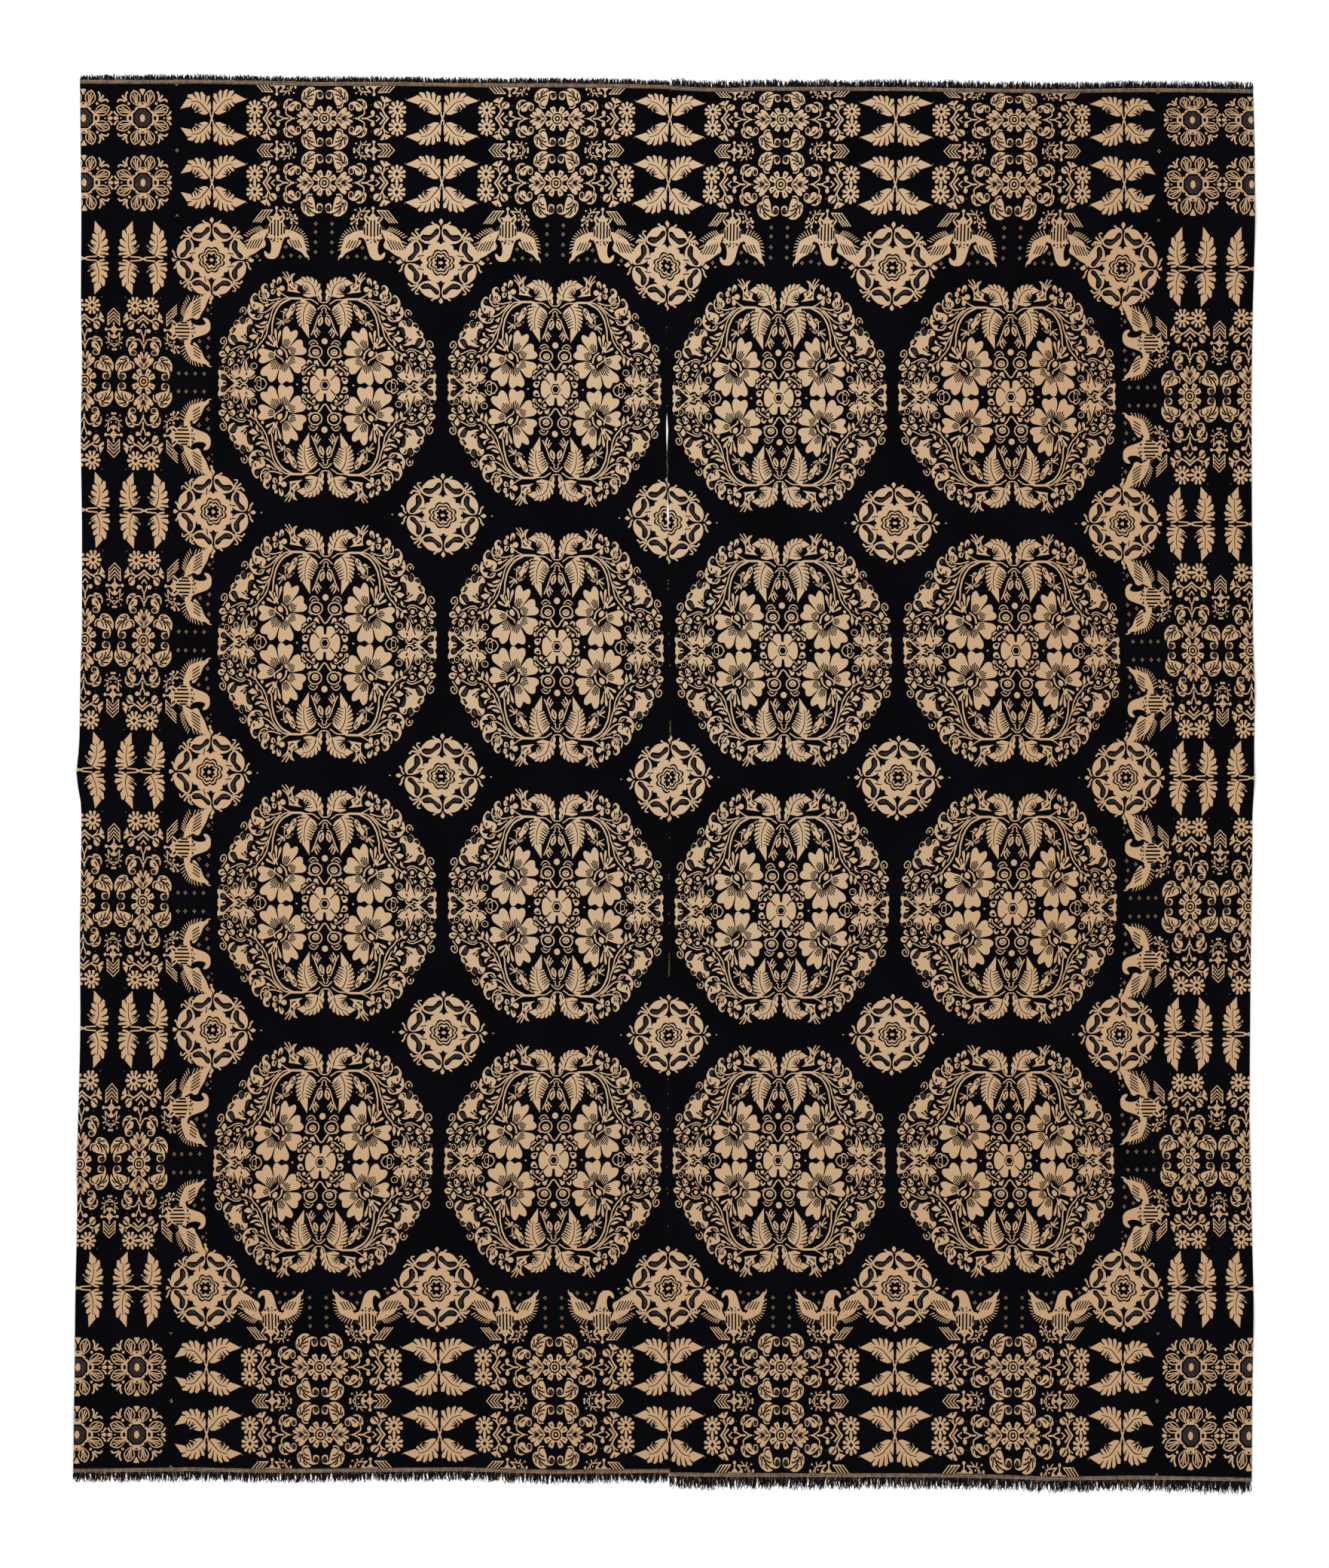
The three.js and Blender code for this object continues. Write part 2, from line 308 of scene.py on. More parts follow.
def hanging_leaf(s):
    leaf(s, [(26, 142), (33, 131), (36, 116), (34.6, 101), (26.5, 79)], 15, 21, 6)
    # its small neighbour, and the pendant below
    almond(s, CREAM, 3, 117.4, -70, 18, 4.4)
    s.stem(NAVY, [(4.8, 113), (7.6, 104)], 1.2)
    s.stem(CREAM, [(3.5, 119.6), (8.4, 119), (12, 112), (15, 103), (17.6, 96), (22.8, 84.8)], 2.1)
    s.stem(CREAM, [(14, 98.4), (10.4, 94), (7.2, 89)], 1.9)
    s.stem(CREAM, [(14, 95.5), (12.2, 89), (10, 84.6)], 2.0)
    s.stem(CREAM, [(15.5, 94), (17.4, 88), (13.2, 81)], 2.6)
    s.stem(CREAM, [(-1, 136.5), (3.2, 136.5), (7, 133), (10.8, 129.2)], 2.1)
    s.stem(CREAM, [(1, 133), (4, 129), (3, 125), (6.8, 122.6)], 1.9)
    s.stem(CREAM, [(0, 134), (0, 100)], 1.0)


def long_bud(s):
    s.blob(CREAM, [(50, 139), (54.5, 138.4), (59, 133.5), (61, 128.6), (66, 131), (70.3, 127.5),
                   (71.6, 120), (71, 111), (67.4, 107.3), (62.6, 108), (58, 113), (54.6, 119),
                   (52.2, 124), (49, 131)])
    for points, width in (([(50.6, 132.6), (53.6, 128.4), (56.4, 126.6)], 1.7),
                          ([(53.6, 135.4), (56.6, 131.6)], 1.4),
                          ([(61.4, 127.8), (65.6, 122.4), (69.6, 118.4)], 1.6),
                          ([(56, 119.6), (59.6, 113.4), (66, 108.8)], 1.6),
                          ([(66, 125.8), (71.6, 125)], 1.3)):
        s.stem(NAVY, points, width)
    s.blob(NAVY, [(64.8, 113), (66.4, 118.4), (69.2, 117), (69.6, 111.6), (67, 110)])
    s.disc(CREAM, 66.6, 111.6, 1.6)
    s.stem(CREAM, [(42.8, 142.8), (48.6, 139.2)], 1.9)
    s.disc(CREAM, 55.8, 113.2, 1.7)
    s.stem(CREAM, [(58.4, 110), (62.6, 106.8), (67, 105.8)], 1.4)
    s.stem(CREAM, [(70, 125), (75.4, 125)], 1.6, 1.0)
    s.stem(CREAM, [(72, 108.6), (77, 110), (82.6, 112.8)], 2.0, 1.4)
    s.stem(CREAM, [(73, 108.6), (78, 105.4), (82.8, 102.8)], 2.4, 2.8)
    s.stem(CREAM, [(70.6, 108), (70.6, 102)], 2.4, 3.4)
    s.stem(CREAM, [(72.6, 107), (77, 101), (81.2, 95)], 1.8)


def top_leaf(s):
    leaf(s, [(13, 152), (16.4, 166), (24, 175), (36, 178), (51, 175)], 13, 24, 5, 0.2)
    s.stem(CREAM, [(-1, 141.4), (5.6, 142.2), (10.4, 149), (13, 157)], 2.0)
    almond(s, CREAM, 4.6, 143.6, 82, 14, 2.6)


def lily(s):
    s.blob(CREAM, [(36, 156.4), (42.6, 159.6), (46.2, 163.6), (44, 169.6), (46.4, 172.2), (51, 173.4),
                   (54, 176), (57.4, 175.6), (59, 172), (61, 176), (62.2, 170), (62, 164), (63.2, 160),
                   (55, 158.8), (45, 157.4)])
    s.stem(NAVY, [(49.6, 167.2), (52, 171), (55, 174)], 1.9)
    s.stem(NAVY, [(52, 163.2), (56.4, 164), (59.8, 168.8)], 1.9)
    for points in ([(52.4, 172), (55.4, 178), (54.4, 185), (50, 190.8)],
                   [(57.8, 181), (56, 187), (53, 190)], [(59.2, 178), (60.4, 187), (64.6, 193.6)],
                   [(60.8, 177), (64, 184.4), (71, 193)], [(61.2, 174), (65, 180.4), (70.6, 185.2)]):
        s.stem(CREAM, points, 2.5, 1.9)


def open_flower(s):
    s.blob(CREAM, [(78.4, 171), (73.4, 176), (72.6, 182), (76.4, 185.2), (80.4, 182.6), (82.2, 175.6),
                   (80.8, 170)])
    s.stem(NAVY, [(76, 178.6), (79.8, 170)], 1.8)
    s.disc(CREAM, 86.4, 177, 3.4, 3.9)
    s.disc(CREAM, 89.4, 169.4, 4.0, 5.2)
    s.disc(NAVY, 86.4, 173.4, 1.3, 1.1, 8)
    s.disc(NAVY, 88.6, 169.6, 1.2, 1.0, 8)
    s.disc(CREAM, 72.4, 165, 5.4, 5.2)
    s.disc(CREAM, 78, 156, 3.9, 5.6)
    s.blob(CREAM, [(83.4, 162.4), (84, 157.4), (87.4, 153.8), (91.6, 155), (92.6, 160), (90, 163.6)])
    s.stem(NAVY, [(85.8, 162), (88.4, 157)], 1.9)
    s.disc(CREAM, 79.4, 163.4, 3.2)
    s.disc(NAVY, 83.4, 166, 3.0, 2.4)
    s.disc(CREAM, 83.6, 166.2, 1.6, 1.0, 8)
    s.stem(CREAM, [(61, 149.4), (68, 152.6), (75.6, 158)], 2.0, 1.8)


VINES = (
    ([(9.6, 138.6), (14.4, 141.6), (19.4, 145.4), (27, 147), (37, 147)], 2.1, 2.1),
    ([(36, 147.2), (41, 148), (58, 148)], 3.4, 4.0),
    ([(56, 148), (66, 143.4), (75, 137.4), (82, 128.4), (87, 118), (89.6, 108), (91.2, 97),
      (91.4, 87), (93, 81.5)], 3.4, 2.4),
    ([(58, 149), (70, 146.8), (77.6, 141.2), (87, 130.8), (91.4, 122), (93.6, 112), (97, 103),
      (99, 94), (101, 86), (105, 78), (110, 71.4), (116, 65.4), (120.2, 58)], 2.3, 2.2),
    ([(75, 148.2), (84, 145.6), (92, 144), (99, 145.2), (105, 149), (108, 154)], 2.2, 2.0),
    ([(78, 144.4), (88, 134.4), (96, 127), (105, 122.4), (113, 122.8)], 2.3, 2.2),
    ([(98, 103.4), (102.6, 95.4), (106.6, 88.6), (108.6, 82), (112.4, 76.8)], 2.2, 1.8),
    ([(120.4, 60.6), (125.4, 57), (130, 53.6)], 1.9, 1.9),
    ([(86, 141), (90.4, 139.4), (94.4, 136.4)], 1.8, 1.8),
)
LEAFLETS = (
    [(97.6, 108), (104, 108), (109, 106), (113.6, 103.4), (110, 101.4), (104, 102), (100, 104.4)],
    [(99.6, 101.6), (105, 100), (110, 98.6), (115, 101.2), (121.6, 102), (119.4, 98), (114, 95.4),
     (107, 95.6), (103, 98)],
    [(105.6, 90), (108.6, 93.4), (112.4, 91.6), (118, 91.4), (114, 88.6), (110.6, 87.4), (108, 86)],
    [(112, 84.8), (117.6, 87), (121, 90), (122.8, 94.4), (125.6, 95), (126.6, 90), (122.6, 87.2),
     (117, 84.4)],
    [(115.8, 82.6), (120, 84.6), (126, 84.6), (132.6, 81), (128, 76.4), (124.6, 74.6), (120, 77.4)],
    [(113.4, 80.6), (117.6, 78), (120.6, 72), (119.4, 67.4), (116.4, 69.6), (114.4, 75)],
    [(104.8, 64), (107, 67.6), (110.6, 66), (111, 62), (107, 61.2)],
    [(94.4, 122), (99.6, 119.6), (104.6, 115.6), (101, 113.4), (99, 111), (96.6, 115)],
    [(119, 57.4), (117.4, 50.4), (119.4, 45.2), (121, 41), (123.2, 46), (124.2, 51), (122.4, 56.4)],
    [(129, 55), (133, 57), (136.6, 55), (138.6, 51.4), (133, 50.8), (130, 52)],
    [(129.4, 54.6), (126, 50), (125.4, 44.4), (128, 41), (131, 45.4), (131, 51)],
    [(94, 136.2), (97, 139), (102, 137.4), (104, 134), (99, 132.4)],
    [(127, 72.4), (125.2, 68), (126.4, 63.6), (130, 61), (134.8, 60), (132.6, 63), (129, 65),
     (131.8, 67.2), (129, 69)],
)


def vines(s):
    for points, width, end in VINES:
        s.stem(CREAM, points, width, end)
    for outline in LEAFLETS:
        s.blob(CREAM, outline)
    s.disc(CREAM, 122.4, 65, 1.5, sides=8)


def scroll_leaves(s):
    # the smaller comma leaf
    s.blob(CREAM, [(96.8, 164), (97.4, 170), (101, 173.4), (105.6, 172), (109.4, 167), (109, 160),
                   (106, 153.4), (101.6, 147), (97, 147.4), (93.5, 152), (95, 158), (99.4, 161.4)])
    s.disc(NAVY, 101.2, 166.6, 3.2, 3.6)
    s.patch(NAVY, [(95.6, 161), (99.6, 162.4), (99.8, 165.8), (95.6, 164.8)])
    s.disc(MIXED, 101.8, 168, 2.0)
    s.stem(NAVY, [(99.2, 149), (100.8, 153), (99.4, 157)], 1.6)
    s.stem(NAVY, [(103.4, 153), (103.6, 157.6)], 1.5)
    s.stem(CREAM, [(111.2, 160.6), (113, 154), (112, 147.6), (107.8, 141.4), (102.6, 139.6),
                   (97.4, 141.6)], 2.4, 2.2)
    s.stem(CREAM, [(103, 143.6), (106, 146.6), (110.4, 148)], 1.8)
    # the larger one
    s.blob(CREAM, [(114.4, 149), (116.4, 155), (120.6, 156.6), (125.4, 152), (129, 144.4), (128, 135.4),
                   (124, 128), (118, 123), (111.6, 122.2), (107, 124.4), (104, 129.6), (105, 135.4),
                   (109.6, 138.6), (115, 140), (118.6, 142.4)])
    s.disc(NAVY, 119, 146.6, 5.2, 6.2, 12)
    s.disc(MIXED, 119.8, 147.6, 3.0, 3.6)
    s.stem(NAVY, [(112, 131.6), (114.6, 127), (112, 123.6)], 1.8)
    s.stem(NAVY, [(121.6, 137.2), (122.2, 131.4)], 2.0)
    s.blob(NAVY, [(115.4, 124), (117, 128.6), (121.4, 126.4), (124.6, 129.4), (123, 124.6), (119, 121.4)])
    s.disc(MIXED, 119.2, 124.6, 1.6, 1.4, 8)
    # the cup under it
    s.blob(CREAM, [(130.6, 137.6), (133.6, 131), (134.2, 124), (131.2, 117), (126, 111.4), (119, 109.4),
                   (112, 110), (107.4, 114), (105.4, 120), (108.6, 118.6), (112.4, 113.6), (117.6, 112.8),
                   (121.4, 115.4), (119, 119.4), (125.4, 119.6), (129, 122.6), (124.6, 126.6),
                   (128.6, 129), (127.6, 133)])
    s.stem(CREAM, [(109.6, 119.6), (113, 117), (116.4, 114.6)], 1.6)
    # a loose curl
    s.stem(CREAM, [(139.4, 118.6), (136, 122), (136.6, 128), (140, 131.4), (144.2, 129.4), (147, 124.8),
                   (145.8, 122)], 1.8)
    s.blob(CREAM, [(139.6, 126.6), (142, 127.6), (143.8, 124.6), (142, 121.4), (140.2, 123.4)])


def bell(s):
    s.blob(CREAM, [(124.8, 102), (125.6, 109), (131.6, 113.6), (136.6, 112.4), (142.6, 116.4),
                   (148.2, 113), (149.8, 109), (153.6, 109.6), (157.8, 105.6), (159, 100),
                   (158.6, 97.2), (163, 95.6), (166.6, 90.6), (165.8, 84.6), (168.8, 80.6),
                   (169, 74), (166, 68.2), (161, 65.4), (155.6, 66), (151, 70.6), (146.6, 71.6),
                   (141, 69.4), (135, 69), (130.6, 71), (136.4, 73), (139.6, 77.6), (136.4, 84.6),
                   (134.8, 92), (130, 97)])
    s.blob(NAVY, [(137, 112.2), (142, 115), (147.6, 111.4), (147.4, 106), (144.6, 101.6), (139.6, 103),
                  (137.6, 107.6)])
    s.blob(MIXED, [(138.8, 111.2), (142, 113), (146, 110.4), (145.8, 106), (144, 103.4), (140.4, 105)])
    s.blob(NAVY, [(149.6, 105.4), (153.6, 107.6), (157.2, 104.8), (157, 100.6), (153.6, 100.2),
                  (151.6, 103), (148.6, 102.6)])
    s.disc(MIXED, 153.6, 104, 2.0, 1.8)
    s.blob(NAVY, [(154.4, 93.6), (157.6, 95.6), (161, 93), (164, 89), (161, 85.6), (157.6, 88.6)])
    s.blob(CREAM, [(159.4, 93.6), (163.6, 91), (163, 87.4), (160.4, 89)])
    s.disc(MIXED, 157.6, 92, 1.9)
    s.blob(NAVY, [(151, 71), (153.4, 77), (157, 82.6), (162.6, 83), (166, 79.6), (161.6, 72.4),
                  (156.8, 67), (153.4, 68.4)])
    s.blob(MIXED, [(153, 71), (155, 76.6), (158, 81), (162, 81), (163.6, 78.6), (159.8, 72.6),
                   (156.6, 69)])
    s.blob(NAVY, [(126, 101.4), (131.6, 101), (135, 96.4), (135, 88), (132, 84), (130, 91), (127, 96)])
    s.blob(MIXED, [(127.6, 100), (131, 99.6), (133.6, 95.6), (133.6, 88.6), (132, 87), (131, 92.4)])
    for points, width in (([(131.4, 111.4), (134.4, 108.6), (135.6, 104.6)], 1.8),
                          ([(138.4, 84.4), (141, 80.2)], 2.2), ([(140.8, 77.4), (146, 81.2)], 1.9)):
        s.stem(NAVY, points, width)
    s.stem(CREAM, [(135.6, 86), (136.8, 80.6)], 1.4)
    s.stem(CREAM, [(136, 75.4), (139.4, 79), (143.4, 82.4)], 1.6)


def ring_flower(s):
    s.disc(CREAM, 146, 53, 3.8, 4.0)
    s.stem(CREAM, [(138.8, 56.4), (142, 60), (147, 60.4), (151.6, 58.4), (154, 54)], 1.8, 1.6)
    s.stem(CREAM, [(141.8, 47.4), (145, 45.6), (148.8, 45.2)], 2.3)
    s.stem(CREAM, [(150.4, 46.2), (152.6, 49)], 1.6)
    s.stem(CREAM, [(136.8, 60), (141.4, 63.6), (147, 64), (153, 62), (159, 59), (165.2, 56)], 1.9)
    s.disc(CREAM, 151, 38.5, 2.9)
    s.stem(CREAM, [(180, 58), (176.4, 62.6), (172, 68.6), (172.4, 75.6), (176, 78.4), (180.4, 76),
                   (182.4, 71), (180.4, 67.6), (177, 67.8), (175.4, 70.8), (176.4, 73.4)], 1.9)


def garden_flower(s):
    s.blob(CREAM, [(169.6, 50.4), (166, 57), (166.6, 61.6), (169.8, 64.6), (174, 61.6), (175.6, 57.6),
                   (172.6, 53)])
    s.blob(CREAM, [(171.4, 47.4), (174, 45), (180, 44), (185.2, 46.4), (186, 51.4), (182, 55),
                   (177, 55.4), (174.6, 52)])
    s.stem(NAVY, [(177, 51.2), (182, 48.2)], 1.9)
    s.stem(NAVY, [(172.6, 51), (176, 48.8)], 1.4)
    s.blob(CREAM, [(170.6, 44.4), (172.6, 38.6), (176, 33.6), (180.2, 34), (181.6, 39), (178.4, 42),
                   (174, 44.4)])
    s.stem(NAVY, [(171.2, 42), (174, 39.6), (177.6, 36.6)], 1.9)
    s.blob(CREAM, [(167.4, 43.4), (161, 41.6), (158.8, 36.6), (161.6, 32.6), (165, 29.4), (169, 30),
                   (170.6, 35), (169.4, 39)])
    s.stem(NAVY, [(160.6, 36.4), (164, 39.6)], 1.8)
    s.stem(NAVY, [(166.8, 39), (167.8, 32.6)], 2.1)
    s.blob(CREAM, [(155.6, 50), (157.6, 53.6), (161.6, 54.6), (166, 51.6), (170.6, 46.6), (166, 47),
                   (162, 43.4), (157.4, 45)])
    s.stem(NAVY, [(160.8, 51.8), (164, 49.6), (167.4, 46.8)], 1.5)
    s.ring(172.2, 22.8, 5.4, 6.4, 1.8, 8)
    s.disc(CREAM, 172.2, 23, 1.5, sides=8)


def trumpet(s):
    s.blob(CREAM, [(121.6, 20.4), (125, 14.4), (131, 10), (136, 10), (138.4, 5.4), (142.6, 5.2),
                   (146.2, 10), (151, 10.6), (155.4, 8), (160, 12), (164.8, 17), (163.6, 22.6),
                   (158, 22), (153, 22.6), (149.8, 29), (147.6, 36), (143.4, 43.4), (139, 46.6),
                   (136.6, 38), (133, 28), (127, 23.6)])
    for points, width in (([(139, 45), (143.6, 37), (147, 27), (151, 15.6)], 2.2),
                          ([(136.6, 43), (140.6, 34), (140, 26), (137.8, 21)], 2.2),
                          ([(136.4, 18.6), (138, 13.6)], 2.6), ([(134.6, 32), (134.8, 22.4)], 1.8),
                          ([(146.4, 34), (150.6, 26), (155.4, 21.4)], 1.8)):
        s.stem(NAVY, points, width, 1.5)
    s.stem(CREAM, [(132.8, 45.6), (136, 42), (140.4, 35)], 1.4)
    s.stem(CREAM, [(121.8, 14), (126, 9.6), (131.6, 7.8)], 2.1)
    s.stem(CREAM, [(134.4, 9), (136.6, 3.4), (140.6, 1), (145.2, 1.8), (148, 4.6), (147.4, 7.6)], 2.1)
    s.stem(CREAM, [(149.8, 6.4), (153.4, 4), (157.6, 5), (159.2, 8.8)], 2.3)
    s.ring(124.2, 30, 6.6, 6.2, 1.9, 12)
    s.disc(MIXED, 125.8, 31, 3.0, 3.2)
    s.ring(155.8, 27.4, 5.2, 6.2, 1.8, 10, MIXED)


def side_lace(s):
    s.stem(CREAM, [(149, -2), (157, 1.6), (165, 7.6), (172, 13.4), (180, 20.6)], 4.4, 2.6)
    s.stem(CREAM, [(157.4, 7.6), (162.6, 12.4), (168, 14.6)], 2.4)
    s.disc(NAVY, 164.6, 8, 1.6, 1.0, 8)
    s.stem(CREAM, [(163, 26), (166, 22)], 1.4)
    s.blob(CREAM, [(176, 15), (180.6, 21.4), (186.6, 22.6), (187.4, 16), (184.6, 9), (187.4, 4),
                   (184, -3), (177, 1.4), (171, 1), (175, 5), (179, 9)])
    s.blob(NAVY, [(170.6, 9.4), (176, 15.4), (181.8, 14), (181.6, 7), (176.6, 4.4)])
    s.blob(MIXED, [(172.6, 9.4), (176.4, 13.6), (180.2, 12.6), (180, 7.6), (176.6, 6)])
    s.stem(CREAM, [(177, 28.4), (181, 28.4), (185, 25)], 2.6, 2.0)
    s.blob(MIXED, [(178.6, 30.4), (183, 29.4), (187, 24.6), (183, 25.6)])


def knot(s):
    s.stem(CREAM, [(101.2, -1), (104, 5), (109, 9.4), (113.4, 5.6)], 1.9)
    s.ring(115, 2.2, 4.8, 4.8, 1.7, 10)
    s.stem(CREAM, [(111.6, 6.6), (112.6, 11), (116.6, 11.4), (120.6, 8), (122.8, 3)], 2.4, 1.8)
    for x, y, r in ((0, 74.5, 5.8), (48, -0.3, 2.4), (35.5, 82, 0.9), (33, 48, 0.9), (48.6, 6, 0.9),
                    (115, 22.4, 0.9), (155.4, 36, 0.8)):
        s.disc(CREAM, x, y, r, sides=12 if r > 2 else 6)


MEDALLION_FIT = (0.968, 1.0)    # its woven width and height, as shares of the drawn


def medallion():
    s = Sketch(0.5)
    for part in (medallion_heart, curl_flower, ring_rose, vines, great_rose, calyx, hanging_leaf,
                 long_bud, top_leaf, lily, open_flower, scroll_leaves, bell, ring_flower,
                 garden_flower, trumpet, side_lace, knot):
        part(s)
    result = Sketch()
    result.add(s, lambda x, y: (x * MEDALLION_FIT[0], y * MEDALLION_FIT[1]))
    return result


# The rosette that stands between the medallions
def over(points, swap, shift=0.0):
    """Points moved along x, and turned over the diagonal if swap is true."""
    return [(y, x + shift) if swap else (x + shift, y) for x, y in points]


# A round lobe beside the x axis, the dark boot in it, and the hatching in the boot.
LOBE = ((55.4, 2.2), (59, 9), (59, 18), (55.6, 26), (49.6, 32), (42.6, 36), (37, 35.4), (32, 29),
        (30, 22), (30, 12), (36, 4.6), (46, 1.2))
LOBE_BOOT = ((53.6, 4.6), (53, 9), (48.6, 12.4), (44.4, 17), (44, 23.6), (44.6, 29), (41.4, 33),
             (37.6, 31.6), (34.8, 26.4), (34.6, 20.4), (37.6, 14.6), (42, 9), (46, 4.2), (50.6, 2.8))
BOOT_HATCH = ((50.6, 5.4), (49.4, 8.6), (45.4, 12), (41.6, 17), (41, 23.4), (41.4, 28), (39.8, 30),
              (37.6, 28), (36.4, 24), (36.4, 20.4), (39.2, 15), (43.4, 10), (46.6, 6))


def rosette_drops(s):
    """The dark drops between the lobes, on the axes and on the slant."""
    for x, y in ((1, 0), (0, 1)):
        s.disc(NAVY, 35 * x, 35 * y, 3.4 + 1.8 * x, 3.4 + 1.8 * y, 10)
        s.stem(NAVY, [(38 * x, 38 * y), (62 * x, 62 * y)], 2.4, 1.2)
    s.disc(NAVY, 24.6, 24.2, 3.9)
    s.stem(NAVY, [(25, 24.6), (30.6, 30), (37.4, 36.8)], 2.6, 2.4)
    s.stem(NAVY, [(27.6, 11.6), (38, 10)], 1.2)


# The wavy ring about the rosette's heart, and the sizes of the rings that follow it inwards.
WAVY = ((19, 0), (22, 3.4), (21.4, 8.2), (17, 10.8), (13.4, 11.4), (12, 15.4), (9, 19.4), (4.6, 21),
        (0, 19))
WAVY_RINGS = ((NAVY, 1.04), (CREAM, 0.9), (NAVY, 0.78), (CREAM, 0.64))


def rosette_heart(s):
    for colour, size in WAVY_RINGS:
        s.patch(colour, [(0, 0)] + [(x * size, y * size) for x, y in curve(WAVY)])
    s.blob(NAVY, [(-3, -3), (8, -3), (7, 0.5), (9.8, 2.8), (9, 5.8), (6.2, 5), (6.6, 9), (3.6, 10.4),
                  (0, 7.4), (-3, 7.4)])
    s.disc(CREAM, 0, 0, 4.2, 2.9, 12)


def rosette_tips(s):
    """A curl and a three-fingered leaf on the slant, and a small lily on each axis."""
    s.blob(CREAM, [(36.6, 34.6), (39.4, 36), (39.2, 39.4), (36, 38.6)])
    for points, width, end in (([(38.4, 38), (43.4, 38.6), (48.4, 40), (53, 35)], 2.2, 3.2),
                               ([(38, 39.4), (42.4, 43), (47.6, 47)], 2.0, 3.2),
                               ([(36.4, 40), (37, 44.6), (41, 49), (40.4, 52.8), (36, 52.6)], 2.6, 2.2)):
        s.stem(CREAM, points, width, end)
    for swap, near in ((False, 0), (True, -3.6)):
        s.blob(CREAM, over([(73, 0), (69, 3.6), (65, 2.4), (62, 0), (65, -2.4), (69, -3.6)], swap, near))
        s.stem(CREAM, over([(59.6, 2.2), (63, 6.6), (63.6, 11), (67.4, 15.6)], swap, near), 2.2, 3.0)
    s.disc(CREAM, 82, 0, 1.8, 1.4, 6)


def rosette():
    """A quarter of the rosette, its middle at the origin."""
    s = Sketch()
    s.disc(CREAM, 0, 0, 34, 34, 24)
    for swap in (False, True):
        for colour, outline in ((CREAM, LOBE), (NAVY, LOBE_BOOT), (MIXED, BOOT_HATCH)):
            s.blob(colour, over(outline, swap))
    rosette_drops(s)
    rosette_heart(s)
    rosette_tips(s)
    return s


def field_tile():
    """A quarter of a medallion, with a quarter of a rosette in its outer corner."""
    s = Sketch()
    s.add(medallion(), lambda x, y: (x, y))
    s.add(rosette(), lambda x, y: (HALF_WIDE - x, HALF_LONG - y))
    return s


# The flower bands of the borders: half a repeat, in mm from the middle of its flower
def small_flower(s, x, y):
    """A flower with ten separate petals about a dark diamond."""
    for k in range(10):
        a = math.tau * (k + 0.5) / 10
        s.petal(CREAM, x + 5 * math.cos(a), y + 5 * math.sin(a), math.degrees(a), 10.8, 6.2)
    s.disc(CREAM, x, y, 7.8, sides=14)
    s.patch(NAVY, [(x - 3.6, y), (x, y + 4.2), (x + 3.6, y), (x, y - 4.2)])


def band_flower(s):
    for turn in (28, 64, 152, 116):
        fan_petal(s, 0, 0, turn, 18.5, 8, 23, 0.06)
    for turn, start, end, width in ((0, 10, 24, 1.5), (46, 11.4, 17.6, 1.4), (46, 19.4, 24, 1.6),
                                    (90, 10, 24, 1.5), (28, 14.6, 18.4, 1.5), (64, 14.6, 18.4, 1.5),
                                    (180, 10, 24, 1.5), (134, 11.4, 17.6, 1.4), (134, 19.4, 24, 1.6),
                                    (152, 14.6, 18.4, 1.5), (116, 14.6, 18.4, 1.5)):
        a = math.radians(turn)
        s.stem(NAVY, [(r * math.cos(a), r * math.sin(a)) for r in (start, end)], width)
    for colour, wide in ((CREAM, 11.8), (NAVY, 9.6), (CREAM, 7.8), (NAVY, 4.8), (CREAM, 2.6)):
        s.disc(colour, 0, 0, wide, wide, 16)


def triple_leaf(s):
    for x, turn, long, wide in ((18.6, 42, 26, 9.2), (26, 31, 21, 7.2), (36, 27, 14, 5.4)):
        s.petal(CREAM, x, 0, turn, long, wide)
    s.stem(CREAM, [(19, 0), (30, 0.6)], 2.6)
    for x, turn, long in ((21, 42, 12), (29, 31, 9)):
        c, d = math.cos(math.radians(turn)), math.sin(math.radians(turn))
        s.stem(NAVY, [(x, 0.6), (x + long * c, 0.6 + long * d)], 0.9, 1.4)
    s.disc(CREAM, 49.4, 0, 1.5, sides=6)
    s.patch(CREAM, [(51.4, 0), (54.4, 1.8), (61, 0), (54.4, -1.8)])
    s.blob(CREAM, [(63, 1.6), (73, 1.8), (74, 0), (73, -1.8), (63, -1.6)], parts=1)


